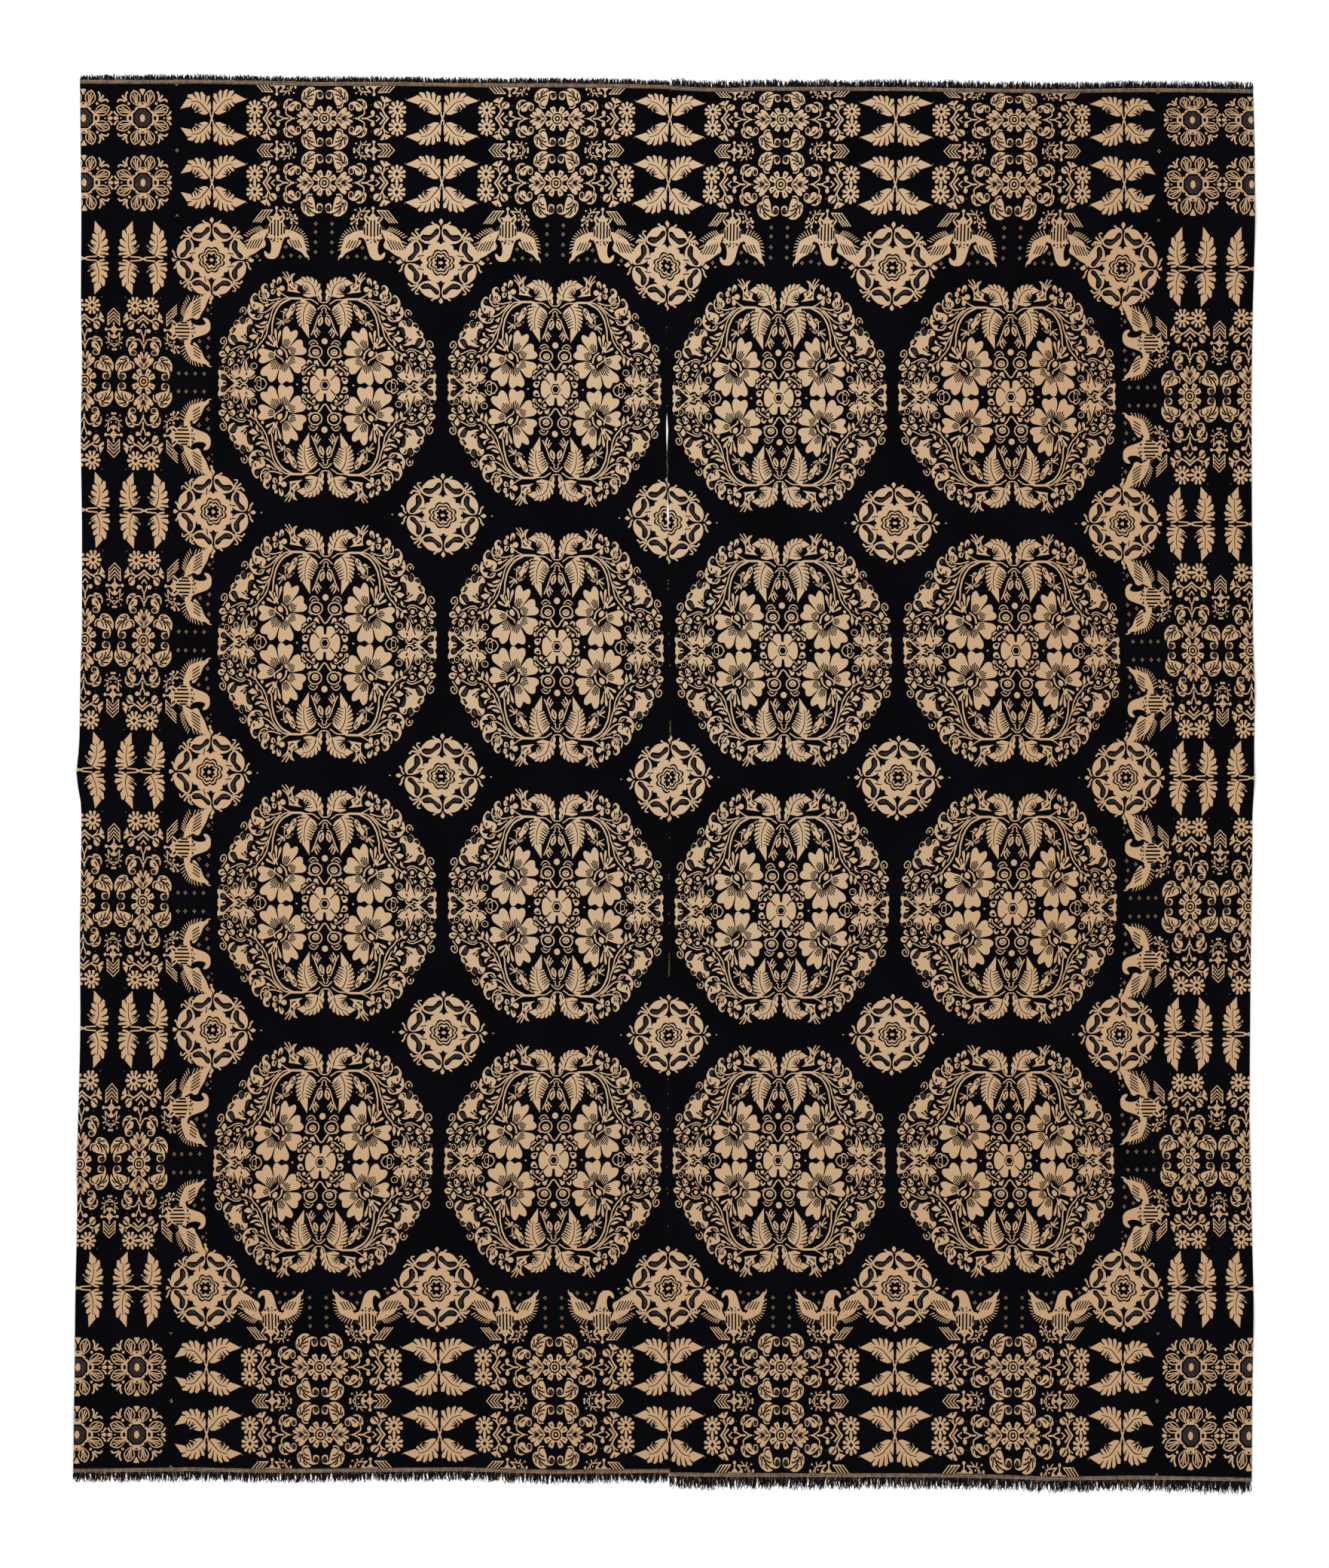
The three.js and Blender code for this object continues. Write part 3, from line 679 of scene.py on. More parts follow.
def large_scroll(s):
    s.blob(CREAM, [(2, 38), (2.6, 43.4), (6, 47), (12, 48), (18.6, 46.6), (25.4, 41.6), (30, 35.4),
                   (30.8, 29), (28.6, 23.4), (24.6, 21), (20.6, 21.6), (17.6, 26.6), (16, 32.6),
                   (15, 38.6), (13, 43)])
    s.disc(NAVY, 8, 38.6, 5.6, 6.4, 12)
    s.blob(CREAM, [(2.4, 40), (1.8, 35.6), (4.4, 32.4), (8.6, 31.4), (12.6, 33.4), (13.6, 38), (12, 42.8),
                   (10.8, 39), (9.6, 35.6), (6.6, 34.8), (4.6, 37)])
    s.disc(MIXED, 7.2, 39.4, 3.0, 3.6, 10)
    s.blob(CREAM, [(15.4, 50), (20, 52.4), (26.4, 52.4), (32, 50), (37.4, 45.6), (40.6, 39.6), (41, 32.6),
                   (38.4, 28), (34, 25.8), (32.4, 27.4), (32.4, 33.6), (29.4, 39.6), (24, 44.6),
                   (18.4, 47.8)])
    for points, width in (([(13.6, 48.4), (20, 46.6), (26.6, 42), (30.6, 36), (31.8, 29)], 1.6),
                          ([(18, 39.6), (23, 38.8), (29, 35.2)], 1.8),
                          ([(20.6, 33.2), (25, 32.8), (29.4, 28.6)], 1.7),
                          ([(24.4, 48.4), (27.4, 46), (30, 41.6)], 1.8),
                          ([(34.8, 44), (35, 38), (33.4, 31)], 1.8), ([(38.2, 36), (36, 30)], 1.6)):
        s.stem(NAVY, points, width)
    s.stem(CREAM, [(20.8, 18.6), (26.4, 18), (30.6, 21), (31.6, 26), (32.4, 31)], 2.2)


def small_scroll(s):
    s.stem(CREAM, [(57.4, 1), (63, 4), (67.4, 7.4), (68.2, 12.6), (66, 18), (61.6, 21.6), (56, 25.6)],
           2.4, 1.8)
    s.blob(CREAM, [(41, 22), (43.4, 26), (49.6, 28.6), (56, 27.4), (62, 22), (64.4, 16.4), (62.6, 12.4),
                   (57, 11.6), (53.4, 13.8), (51.8, 19), (47, 24.8), (44, 22.6)])
    s.ring(46, 19.2, 5.2, 6.4, 2.0, 12)
    s.disc(MIXED, 46, 20, 2.4, 3.2, 8)
    s.stem(NAVY, [(51.8, 13), (51.2, 20)], 1.4)
    s.stem(NAVY, [(53.6, 23.4), (57, 22), (60, 18.6)], 1.9)
    s.blob(CREAM, [(54.6, 30.4), (59, 32.6), (66, 31.4), (71, 26.6), (73, 20), (71.8, 15.6), (69, 15.2),
                   (66.6, 21), (62, 26.4)])
    s.stem(NAVY, [(68.2, 26), (68.6, 19.6)], 1.5)
    s.stem(NAVY, [(57.4, 29.6), (62.6, 25.8), (66.8, 19.6)], 1.5)
    s.stem(NAVY, [(61.4, 30), (65, 25.4)], 1.4)


def band_sprig(s):
    s.disc(CREAM, 82, 9.6, 3.9, 4.4, 10)
    s.stem(CREAM, [(72.6, 0.6), (77, 3), (84.4, 5)], 2.2)
    s.disc(CREAM, 79.4, 21.6, 1.0, sides=6)
    s.stem(CREAM, [(87.4, 5), (90.4, 2.4), (94.4, -0.4)], 2.1)
    s.stem(CREAM, [(94, 9.8), (97.6, 5.6), (103, -0.6)], 3.1, 2.8)
    s.stem(CREAM, [(96.4, 18), (98.8, 13), (102.4, 6.6), (108.4, -0.6)], 2.6, 3.0)
    s.stem(CREAM, [(99.4, 14), (101, 20), (102.4, 26)], 2.0)
    s.stem(CREAM, [(100.6, 17.4), (104.6, 22.4), (109, 24)], 2.0)
    s.disc(CREAM, 90.8, 22.6, 7.4, 6.5, 14)
    s.stem(NAVY, [(88.2, 27.6), (91, 24.6), (95.4, 19.6)], 1.9)
    s.blob(CREAM, [(94.4, 36.2), (100, 36.4), (101.6, 34), (103.6, 35.8), (107, 34.6), (112.6, 30.6),
                   (113.4, 28.6), (106, 26.6), (100, 26.6), (97.4, 30)])
    s.stem(NAVY, [(101, 35), (103.4, 31.6)], 1.5)
    small_flower(s, 123.4, 14.4)
    s.disc(CREAM, 137, 32.2, 1.2, sides=6)


BAND_FIT = 0.952    # a band's woven width, as a share of the drawn


def spray(s, spine, inner, outer, bare, full):
    """A leaf of the spray that stands between two flowers, on its half of a stalk."""
    leaf(s, spine, inner, outer, teeth=4, bare=bare, full=full, slit=2.8)
    s.stem(CREAM, [(spine[0][0] + 2.6, spine[0][1] + 2), (197.6, 6), (199.6, 1.2)], 2.2)
    s.patch(CREAM, [(198.6, -2), (198.6, 5), (202, 5), (202, -2)])


# The sprays: the leaf's rib, its half widths on both sides, the share of it that is a bare tip,
# and the share at which it reaches its full width.
END_SPRAY = ([(195, 9), (186, 18), (178, 27), (163, 31), (137.5, 30)], 19.5, 20.5, 0.2, 0.34)
CORNER_SPRAY = ([(194.5, 9), (187, 17), (178, 25), (163, 26), (144, 15)], 18, 19, 0.2, 0.3)
SIDE_SPRAY = ([(194, 21), (187, 24.5), (178.5, 26.7), (160, 25.7), (141, 19)], 20, 21, 0.2, 0.18)


def spray_only(place):
    """The spray by itself, as beside a corner, in the band's own measure."""
    s = Sketch()
    spray(s, *place)
    result = Sketch()
    result.add(s, lambda x, y: (x * BAND_FIT, y))
    return result


def insect_half(s, middle):
    """Half of the insect on the line between two rows: w is the height above it."""
    def at(points):
        return [(x, middle - w) for x, w in points]
    for x, w, wide, high in ((51, 2.4, 2.4, 3), (54, 11.6, 2.2, 1.8), (58.4, 8.4, 1.4, 1.4),
                             (64.6, 4.4, 1.8, 2), (72.4, 0, 4.2, 4.4), (84, 0, 5.8, 6.2),
                             (84, 14, 3.2, 3.2)):
        s.disc(CREAM, x, middle - w, wide, high, 8)
    for x in (81.6, 86.4):
        s.disc(NAVY, x, middle, 1.0, sides=6)
    for points, width in (([(54.6, -1), (58.6, 4.6), (63, 9.4), (61.4, 15)], 1.8),
                          ([(60, -1), (59.8, 5.6)], 1.4), ([(76, 0), (79, 0)], 2.6),
                          ([(84, 5), (84, 11)], 2.4), ([(64.4, 9), (71, 9.4), (79, 10.8)], 1.8),
                          ([(79, 10.8), (74.6, 7.4), (70, 3)], 2.2), ([(66.4, 10), (72, 15.8)], 1.6),
                          ([(89, 0), (96, 0)], 2.6), ([(90.6, 10.6), (107, 10.4)], 1.6)):
        s.stem(CREAM, at(points), width)
    for x in (91, 96.6, 102.2, 108.4):
        s.stem(CREAM, at([(x, 11), (x + 5.6, 5.6), (x + 11.2, -1)]), 1.9)


def band_unit(place, thin):
    """Half a repeat of a flower band, with the spray that has its place."""
    s = Sketch(thin)
    for part in (band_flower, triple_leaf, large_scroll, small_scroll, band_sprig):
        part(s)
    insect_half(s, BAND_DEEP)
    result = Sketch()
    result.add(s, lambda x, y: (x * BAND_FIT, y))
    result.add(spray_only(place), lambda x, y: (x, y))
    return result


# The birds between the field and the flower bands
def feathers(s, start, end, bend, count, reach):
    """A row of short strokes from start to end; reach turns from its first to its last."""
    for k in range(count):
        t = k / (count - 1)
        x = start[0] + (end[0] - start[0]) * t + bend[0] * 4 * t * (1 - t)
        y = start[1] + (end[1] - start[1]) * t + bend[1] * 4 * t * (1 - t)
        dx = reach[0][0] + (reach[1][0] - reach[0][0]) * t
        dy = reach[0][1] + (reach[1][1] - reach[0][1]) * t
        s.stem(CREAM, [(x, y), (x + dx, y + dy)], 1.7, 1.4)


def four_dots(s, x, y):
    """A small diamond of four dots."""
    for dx, dy in ((2, 0), (-2, 0), (0, 2), (0, -2)):
        s.disc(CREAM, x + dx, y + dy, 1.3, sides=6)


def bird_left_wing(s):
    feathers(s, (26, 22), (52, 49), (-7, 7), 11, ((-6.6, -4), (-4.4, 9)))
    s.blob(CREAM, [(60, 50), (52, 50), (43, 47.4), (36, 44), (30.4, 40), (27.6, 34), (26, 27), (23.6, 20),
                   (23.4, 13), (20, 8.6), (19, 3), (20.6, 1), (22, 5.6), (26, 6), (31, 12.4), (38, 17.2),
                   (46, 20.6), (53, 26), (57, 31), (56.6, 35), (53, 35.6), (54, 39), (60, 38)])
    for k in range(4):
        s.stem(NAVY, [(32 + 4.6 * k, 22 - 0.4 * k), (39 + 4.6 * k, 34.6 - 0.2 * k)], 1.3)
    s.stem(NAVY, [(52.4, 35), (56, 39.6)], 2.4)


def bird_head(s):
    s.blob(CREAM, [(59, 44), (63.4, 33), (67, 21), (70.4, 10.6), (76, 4), (83, 2.2), (90, 3.6), (95, 8.4),
                   (96, 15.6), (92.6, 15.4), (88.6, 11.4), (85.4, 13.4), (84, 22), (86, 33), (92, 40)])
    s.blob(NAVY, [(88.4, 37), (85.4, 31), (85.6, 25.4), (88.6, 19.4), (92, 24), (91.6, 31), (93, 36)])


def bird_right_wing(s):
    feathers(s, (97, 49), (123, 39), (0, 2.6), 8, ((6.6, 6.6), (7.6, 3)))
    feathers(s, (122, 34), (136, -4), (-1.6, -4), 10, ((8.4, -4), (6, -6)))
    s.blob(CREAM, [(89, 52), (98, 49.6), (106, 47), (113, 43), (119, 38.6), (122, 33), (125, 26),
                   (128, 20), (132, 12), (136, 4), (138.6, -4), (135, -5), (130, 1), (124, 6), (116, 9),
                   (108, 13.6), (101, 19), (95, 22), (92.6, 28), (95.4, 35), (92, 42)])
    for k in range(5):
        s.stem(NAVY, [(98.6 + 4.6 * k, 35 - 0.6 * k), (106.6 + 4.6 * k, 20 - 0.2 * k)], 1.3)
    for x, y in ((100, 37), (103, 35), (106, 34.6), (111.4, 34.4), (104.6, 43)):
        s.disc(NAVY, x, y, 0.8, sides=6)


def bird_breast(s):
    """The breast with its plain bars, and the dots at its neck."""
    s.blob(CREAM, [(60, 41), (60, 55), (64, 63), (60, 68), (63, 73), (76, 76), (89, 73), (91.6, 68),
                   (86.4, 62), (90, 55), (90, 41), (84, 34), (74, 31), (66, 34)])
    for x, low, high in ((62, 44, 55), (66.6, 42, 61), (72.4, 40, 66), (78, 40, 66), (83.4, 42, 61),
                         (87.6, 44, 56)):
        s.stem(NAVY, [(x, low), (x, high)], 2.1)
    for x, y in ((67, 35), (78.6, 33.6), (84, 35)):
        s.disc(MIXED, x, y, 2.4, 2.0, 6)
    for x, y in ((72.4, 36), (78, 37), (72.6, 31.4), (80.4, 31.4)):
        s.disc(NAVY, x, y, 1.2, sides=6)
    s.stem(NAVY, [(65, 70), (68.6, 64)], 2.2)
    s.stem(NAVY, [(87, 70), (83.4, 64)], 2.2)
    s.stem(MIXED, [(56, 52), (60, 58)], 2.4)
    s.stem(MIXED, [(96, 51), (91, 57)], 2.4)


def bird_sprig(s):
    """Slanted rays, a sprig with berries, and a small bloom at the wing's tip."""
    for k in range(4):
        s.stem(CREAM, [(91 + 4.6 * k, 74), (102.6 + 4.2 * k, 61.6)], 2.0, 1.8)
    for x, y, r in ((41, 68, 2.8), (41, 60.6, 2.6), (49.6, 61, 2.6), (56.6, 68, 2.4)):
        s.disc(CREAM, x, y, r, sides=8)
    for points in ([(41, 61), (50, 67), (60, 75)], [(49.6, 62), (51, 68)], [(42, 69), (50, 67)],
                   [(53, 76), (58, 66)]):
        s.stem(CREAM, points, 1.5)
    s.blob(CREAM, [(113, -5), (116.6, -1.6), (121, -2), (127, -3.6), (128, -8), (121, -8), (116, -9)])
    s.blob(CREAM, [(117, 3), (119.6, 6), (121.6, 3.4), (124.4, 0), (121, -1.4), (118, 0)])


def bird():
    """An ordinary bird with spread wings and a barred breast, x from the medallion."""
    s = Sketch(0.45)
    for part in (bird_left_wing, bird_head, bird_right_wing, bird_breast, bird_sprig):
        part(s)
    for x, y in ((35, 7), (50, 9), (64, 6.4), (59, 23), (108, 7), (102, -1), (9, 15), (9, 31), (9, 47),
                 (9, 60)):
        four_dots(s, x, y)
    s.stem(CREAM, [(141, 38), (146, 32), (151, 27)], 1.8)
    s.stem(CREAM, [(138, 34), (139.4, 39.4), (144.6, 39.6)], 1.8)
    return s


BIRD_DEEP = 70.0        # depth of the birds' band at the ends
BIRD_ASIDE = 4.6        # how far a bird stands from the medallion's line


def bird_tile():
    """A bird of the end borders, with a quarter of a rosette beside it."""
    s = Sketch()
    s.add(bird(), lambda x, y: (x + BIRD_ASIDE, y))
    s.add(rosette(), lambda x, y: (HALF_WIDE - x, y))
    return s


# The flowers of the four corners
def ringed_lobe(s, x, y, turn, long, wide):
    """A double outline with two strokes fanned out in it."""
    almond(s, CREAM, x, y, turn, long, wide)
    almond(s, NAVY, x, y, turn, long, wide, 1.7)
    for lean, end in ((-12, 0.72), (0, 0.82), (12, 0.72)):
        a = math.radians(turn + lean)
        s.stem(CREAM, [(x + long * t * math.cos(a), y + long * t * math.sin(a)) for t in (0.12, end)],
               1.3, 2.2)


def corner_flower(s):
    for x, y, turn, long in ((8.6, 19, 78, 26), (17, 7.6, 20, 28)):
        ringed_lobe(s, x, y, turn, long, 9)
    # the ring of the petals' roots, then the hatched heart
    s.disc(CREAM, 0, 0, 20.4, 20.6, 16)
    s.stem(NAVY, [(12.6, 12.6), (18.4, 17), (22.6, 18.6)], 2.2)
    s.disc(NAVY, 0, 0, 17.0, 17.8, 8)
    s.disc(MIXED, 0, 0, 14.0, 15.2, 8)
    s.disc(CREAM, 0, 0, 4.4, 6.6, 10)
    s.disc(CREAM, 0, 21.4, 7, 4.6, 12)
    s.patch(NAVY, [(-2.8, 21.8), (0, 25.4), (2.8, 21.8)])
    s.disc(CREAM, 21.4, 0, 5.2, 7.2, 12)
    s.disc(NAVY, 20.4, 0, 2.4, 3.8, 8)
    for x, y in ((8.6, 23.6), (12.4, 21.4), (23, 7.6)):
        s.disc(NAVY, x, y, 0.7, sides=5)
    # what stands between the lobes' ends
    for lean, long, width in ((0, 9, 2.6), (19, 9.4, 4.2)):
        a = math.radians(90 - lean)
        s.stem(CREAM, [(0, 36.6), (long * math.cos(a), 36.6 + long * math.sin(a))], 1.4, width)
    s.disc(CREAM, 35.4, 0, 1.9, 1.9, 4)
    s.blob(CREAM, [(38.4, 0), (41, 2.6), (45, 3.4), (47.6, 1.6), (47.6, -1.6), (45, -3.4), (41, -2.6)],
           parts=1)
    s.stem(CREAM, [(39.4, 4), (43.4, 6), (46.6, 11)], 1.8, 3.4)
    # three fingers on the slant
    s.disc(CREAM, 22.4, 23.2, 2.6, sides=8)
    s.stem(CREAM, [(24.4, 41.6), (27, 37), (27, 31), (25.6, 27)], 3.2, 2.4)
    s.stem(CREAM, [(33, 36), (30.6, 32), (27.4, 28.4)], 3.0, 2.4)
    s.stem(CREAM, [(40.6, 25.6), (38.6, 29), (33.4, 28.6), (28, 26)], 3.4, 2.4)


def corner_tile():
    """A quarter of a corner's flower."""
    s = Sketch()
    corner_flower(s)
    return s


# The woven plan of one width, in mm from its selvedge and from its lower hem
SIDE_BAND = CUT_FLOWER + 3 * SIDE_DEEP
BIRD_LINE = SIDE_BAND + SIDE_BIRD
WIDTH = BIRD_LINE + 4 * HALF_WIDE
END_BAND = 4 * BAND_DEEP
FIELD_LOW = END_BAND + BIRD_DEEP
FIELD_HIGH = FIELD_LOW + 8 * HALF_LONG
LENGTH = FIELD_HIGH + FIELD_LOW
FIELD_ROWS = [FIELD_LOW + k * HALF_LONG for k in range(9)]

# Where the pattern's columns lie, as shares of each width from its selvedge to the seam.
COLUMN_PLACES = (
    {"woven": 0.0, "left": 0.0, "right": 0.0},
    {"woven": SIDE_BAND, "left": 0.1556, "right": 0.1552},
    {"woven": BIRD_LINE, "left": 0.2230, "right": 0.2226},
    {"woven": BIRD_LINE + HALF_WIDE, "left": 0.4144, "right": 0.4104},
    {"woven": BIRD_LINE + 2 * HALF_WIDE, "left": 0.6145, "right": 0.6132},
    {"woven": BIRD_LINE + 3 * HALF_WIDE, "left": 0.8092, "right": 0.8082},
    {"woven": WIDTH, "left": 1.0, "right": 1.0},
)

# Where its rows lie at the selvedge and seam of each width, and how far the row is drawn aside.
ROW_PLACES = (
    {"woven": 0.0, "left": (-1127, -1127), "right": (-1141, -1133), "aside": (0, 0)},
    {"woven": BAND_DEEP, "left": (-1071, -1071), "right": (-1073, -1072), "aside": (0, 0)},
    {"woven": 3 * BAND_DEEP, "left": (-960, -960), "right": (-960, -960), "aside": (-2, 0)},
    {"woven": FIELD_ROWS[0], "left": (-829.6, -830.8), "right": (-830.8, -829.6), "aside": (-5.5, 1)},
    {"woven": FIELD_ROWS[1], "left": (-626, -617.5), "right": (-620, -620), "aside": (-2, -3.1)},
    {"woven": FIELD_ROWS[2], "left": (-402, -414), "right": (-411.7, -412.9), "aside": (3.2, -2.7)},
    {"woven": FIELD_ROWS[3], "left": (-192, -204.6), "right": (-201, -210.8), "aside": (0.5, 0.6)},
    {"woven": FIELD_ROWS[4], "left": (23.6, 6.2), "right": (9.9, 11.2), "aside": (0.1, 4.1)},
    {"woven": FIELD_ROWS[5], "left": (238, 223.2), "right": (219.5, 219.5), "aside": (-0.1, 3.7)},
    {"woven": FIELD_ROWS[6], "left": (451.4, 436.5), "right": (427.8, 430.3), "aside": (2.6, 1)},
    {"woven": FIELD_ROWS[7], "left": (664.6, 646), "right": (638.6, 634.3), "aside": (1.7, -1.2)},
    {"woven": FIELD_ROWS[8], "left": (865.5, 853), "right": (848, 850.6), "aside": (-0.5, -3.3)},
    {"woven": LENGTH - 3 * BAND_DEEP, "left": (990, 989), "right": (987, 987), "aside": (0, 0)},
    {"woven": LENGTH - BAND_DEEP, "left": (1096, 1095), "right": (1093, 1094), "aside": (0, 0)},
    {"woven": LENGTH, "left": (1152, 1146), "right": (1137, 1143), "aside": (0, 0)},
)

# Soft ridges where the cloth doesn't lie quite flat: middle, half sizes, turn and rise.
RIDGES = (
    {"x": 56, "y": 1040, "along": 92, "across": 30, "turn": 94, "rise": 3.6},
    {"x": -940, "y": 24, "along": 120, "across": 46, "turn": 0, "rise": 4.6},
    {"x": 950, "y": 150, "along": 110, "across": 52, "turn": 8, "rise": 3.4},
    {"x": 955, "y": 18, "along": 90, "across": 44, "turn": -6, "rise": 3.2},
    {"x": 940, "y": 930, "along": 130, "across": 60, "turn": 5, "rise": 2.8},
    {"x": -940, "y": -640, "along": 130, "across": 60, "turn": -7, "rise": 2.8},
    {"x": -930, "y": -1030, "along": 120, "across": 55, "turn": 12, "rise": 3.0},
    {"x": 935, "y": -880, "along": 120, "across": 58, "turn": -10, "rise": 2.8},
    {"x": -330, "y": 1020, "along": 170, "across": 60, "turn": 70, "rise": 2.2},
    {"x": -560, "y": 60, "along": 260, "across": 80, "turn": 24, "rise": 2.0},
    {"x": 470, "y": -260, "along": 280, "across": 85, "turn": -28, "rise": 2.2},
    {"x": 640, "y": -1010, "along": 150, "across": 60, "turn": 82, "rise": 2.8},
    {"x": 400, "y": 620, "along": 240, "across": 90, "turn": 16, "rise": 1.8},
    {"x": -420, "y": -820, "along": 230, "across": 80, "turn": -18, "rise": 2.0},
)


def smooth_step(t):
    """A share from nought to one that starts and ends gently."""
    t = min(max(t, 0.0), 1.0)
    return t * t * (3 - 2 * t)


def read_line(line, at):
    """The height of a line of (place, height) points at a place, joined by straight lines."""
    if at <= line[0][0]:
        return line[0][1]
    for (a, p), (b, q) in zip(line, line[1:]):
        if at <= b:
            return p + (q - p) * (at - a) / (b - a)
    return line[-1][1]


def smooth_line(line, parts=6):
    """The same line with its corners rounded."""
    return curve(line, parts=parts)


def cad_edge(node, axis, sign):
    """One edge of a CAD sheet in plan, in mm, as (place along it, distance across it) points."""
    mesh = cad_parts[node].data
    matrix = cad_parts[node].matrix_world
    found = {}
    turn = matrix.to_3x3()
    for face in mesh.polygons:
        normal = (turn @ face.normal).normalized()
        if normal[axis] * sign < 0.7:
            continue
        for index in face.vertices:
            place = matrix @ mesh.vertices[index].co
            found[round(place[1 - axis] / MM, 1)] = place[axis] / MM
    return sorted(found.items())


HEM_REACH = 60.0    # how far into the cloth the rows follow an uneven hem, in mm


class Width:
    """One loom width: turns woven places into places on the floor, in mm."""

    def __init__(self, side):
        node = f"panel_{side}"
        outer = -1 if side == "left" else 1
        self.side = side
        self.selvedge = cad_edge(node, 0, outer)
        self.seam = cad_edge(node, 0, -outer)
        self.low_hem = cad_edge(node, 1, -1)
        self.high_hem = cad_edge(node, 1, 1)
        which = 0 if side == "left" else 1
        self.shares = smooth_line([(row["woven"], row[side]) for row in COLUMN_PLACES])
        self.outside = smooth_line([(row["woven"], row[side][0]) for row in ROW_PLACES])
        self.inside = smooth_line([(row["woven"], row[side][1]) for row in ROW_PLACES])
        self.aside = smooth_line([(row["woven"], row["aside"][which]) for row in ROW_PLACES])
        self.known = {}

    def row(self, v):
        """Where a row lies at the selvedge and at the seam, and how far it is drawn aside."""
        if v not in self.known:
            self.known[v] = tuple(read_line(line, v) for line in (self.outside, self.inside, self.aside))
        return self.known[v]

    def place(self, u, v):
        """The place on the floor of a woven place."""
        share = read_line(self.shares, u)
        outside, inside, aside = self.row(v)
        y = outside + (inside - outside) * share
        start, end = read_line(self.selvedge, y), read_line(self.seam, y)
        x = start + (end - start) * share + aside * math.sin(math.pi * share)
        near_low = 1 - smooth_step(v / HEM_REACH)
        near_high = 1 - smooth_step((LENGTH - v) / HEM_REACH)
        if near_low > 0:
            low = self.outside[0][1] + (self.inside[0][1] - self.outside[0][1]) * share
            y += (read_line(self.low_hem, x) - low) * near_low
        if near_high > 0:
            high = self.outside[-1][1] + (self.inside[-1][1] - self.outside[-1][1]) * share
            y += (read_line(self.high_hem, x) - high) * near_high
        return x, y


def ridge_lift(x, y):
    """How far the soft ridges lift the cloth at a place, in mm."""
    total = 0.0
    for ridge in RIDGES:
        dx, dy = x - ridge["x"], y - ridge["y"]
        reach = max(ridge["along"], ridge["across"])
        if abs(dx) > reach or abs(dy) > reach:
            continue
        turn = math.radians(ridge["turn"])
        u = (dx * math.cos(turn) + dy * math.sin(turn)) / ridge["along"]
        v = (dy * math.cos(turn) - dx * math.sin(turn)) / ridge["across"]
        far = min(1.0, math.hypot(u, v))
        total += ridge["rise"] * (0.5 + 0.5 * math.cos(math.pi * far))
    return total


def ripple(x, y):
    """The cloth's small unevenness, never below nought."""
    wide = noise.noise(Vector((x / 170, y / 210, 3.1)))
    small = noise.noise(Vector((x / 34, y / 46, 8.7)))
    return max(0.0, 0.55 + 0.5 * wide + 0.22 * small)


def edge_steps(length, step):
    """The places between the ends of a length, about a step apart."""
    count = max(1, round(length / step))
    return [length * k / count for k in range(1, count)]


def leftward(outline):
    """The outline with its points running anticlockwise."""
    turn = sum(a[0] * b[1] - b[0] * a[1] for a, b in zip(outline, outline[1:] + outline[:1]))
    return outline if turn > 0 else outline[::-1]


def chains_of(edges):
    """Edges joined into runs that end where more than two of them meet."""
    nearby = {}
    for a, b in edges:
        nearby.setdefault(a, []).append(b)
        nearby.setdefault(b, []).append(a)
    left = {(min(a, b), max(a, b)) for a, b in edges}
    starts = sorted(nearby, key=lambda index: (len(nearby[index]) == 2, index))
    runs = []
    for start in starts:
        for after in nearby[start]:
            if (min(start, after), max(start, after)) not in left:
                continue
            run = [start]
            here = after
            left.discard((min(start, after), max(start, after)))
            while True:
                run.append(here)
                ahead = [n for n in nearby[here] if (min(here, n), max(here, n)) in left]
                if len(nearby[here]) != 2 or not ahead:
                    break
                left.discard((min(here, ahead[0]), max(here, ahead[0])))
                here = ahead[0]
            runs.append(run)
    return runs


def thin_out(run, points, slack):
    """A run without the points that lie within slack of a straight line."""
    if len(run) < 3:
        return run
    a, b = points[run[0]], points[run[-1]]
    along = b - a
    far = along.length
    best, worst = 0, slack
    for k in range(1, len(run) - 1):
        away = points[run[k]] - a
        gap = away.length if far < slack else abs(along[0] * away[1] - along[1] * away[0]) / far
        if gap > worst:
            best, worst = k, gap
    if not best:
        return [run[0], run[-1]]
    return thin_out(run[:best + 1], points, slack)[:-1] + thin_out(run[best:], points, slack)


CLOSE = 1e-4    # points nearer than this are one, in mm


def tile_grid(wide, high, low_x, step):
    """The points round a tile's rim, anticlockwise, and those of the grid inside it."""
    across, along = edge_steps(wide, step), edge_steps(high, step)
    high_x = low_x + wide
    rim = [(low_x, 0)] + [(low_x + a, 0) for a in across]
    rim += [(high_x, 0)] + [(high_x, b) for b in along]
    rim += [(high_x, high)] + [(high_x - a, high) for a in across]
    rim += [(low_x, high)] + [(low_x, high - b) for b in along]
    return rim, [(low_x + a, b) for a in across for b in along]


def shapes_within(sketch, low_x, high_x, high_y, margin=0.5):
    """The colours and outlines of a sketch that reach into a box that stands on the x axis."""
    for colour, outline in sketch.shapes:
        xs, ys = [x for x, _ in outline], [y for _, y in outline]
        if max(xs) < low_x - margin or min(xs) > high_x + margin:
            continue
        if max(ys) < -margin or min(ys) > high_y + margin:
            continue
        yield colour, leftward(outline)


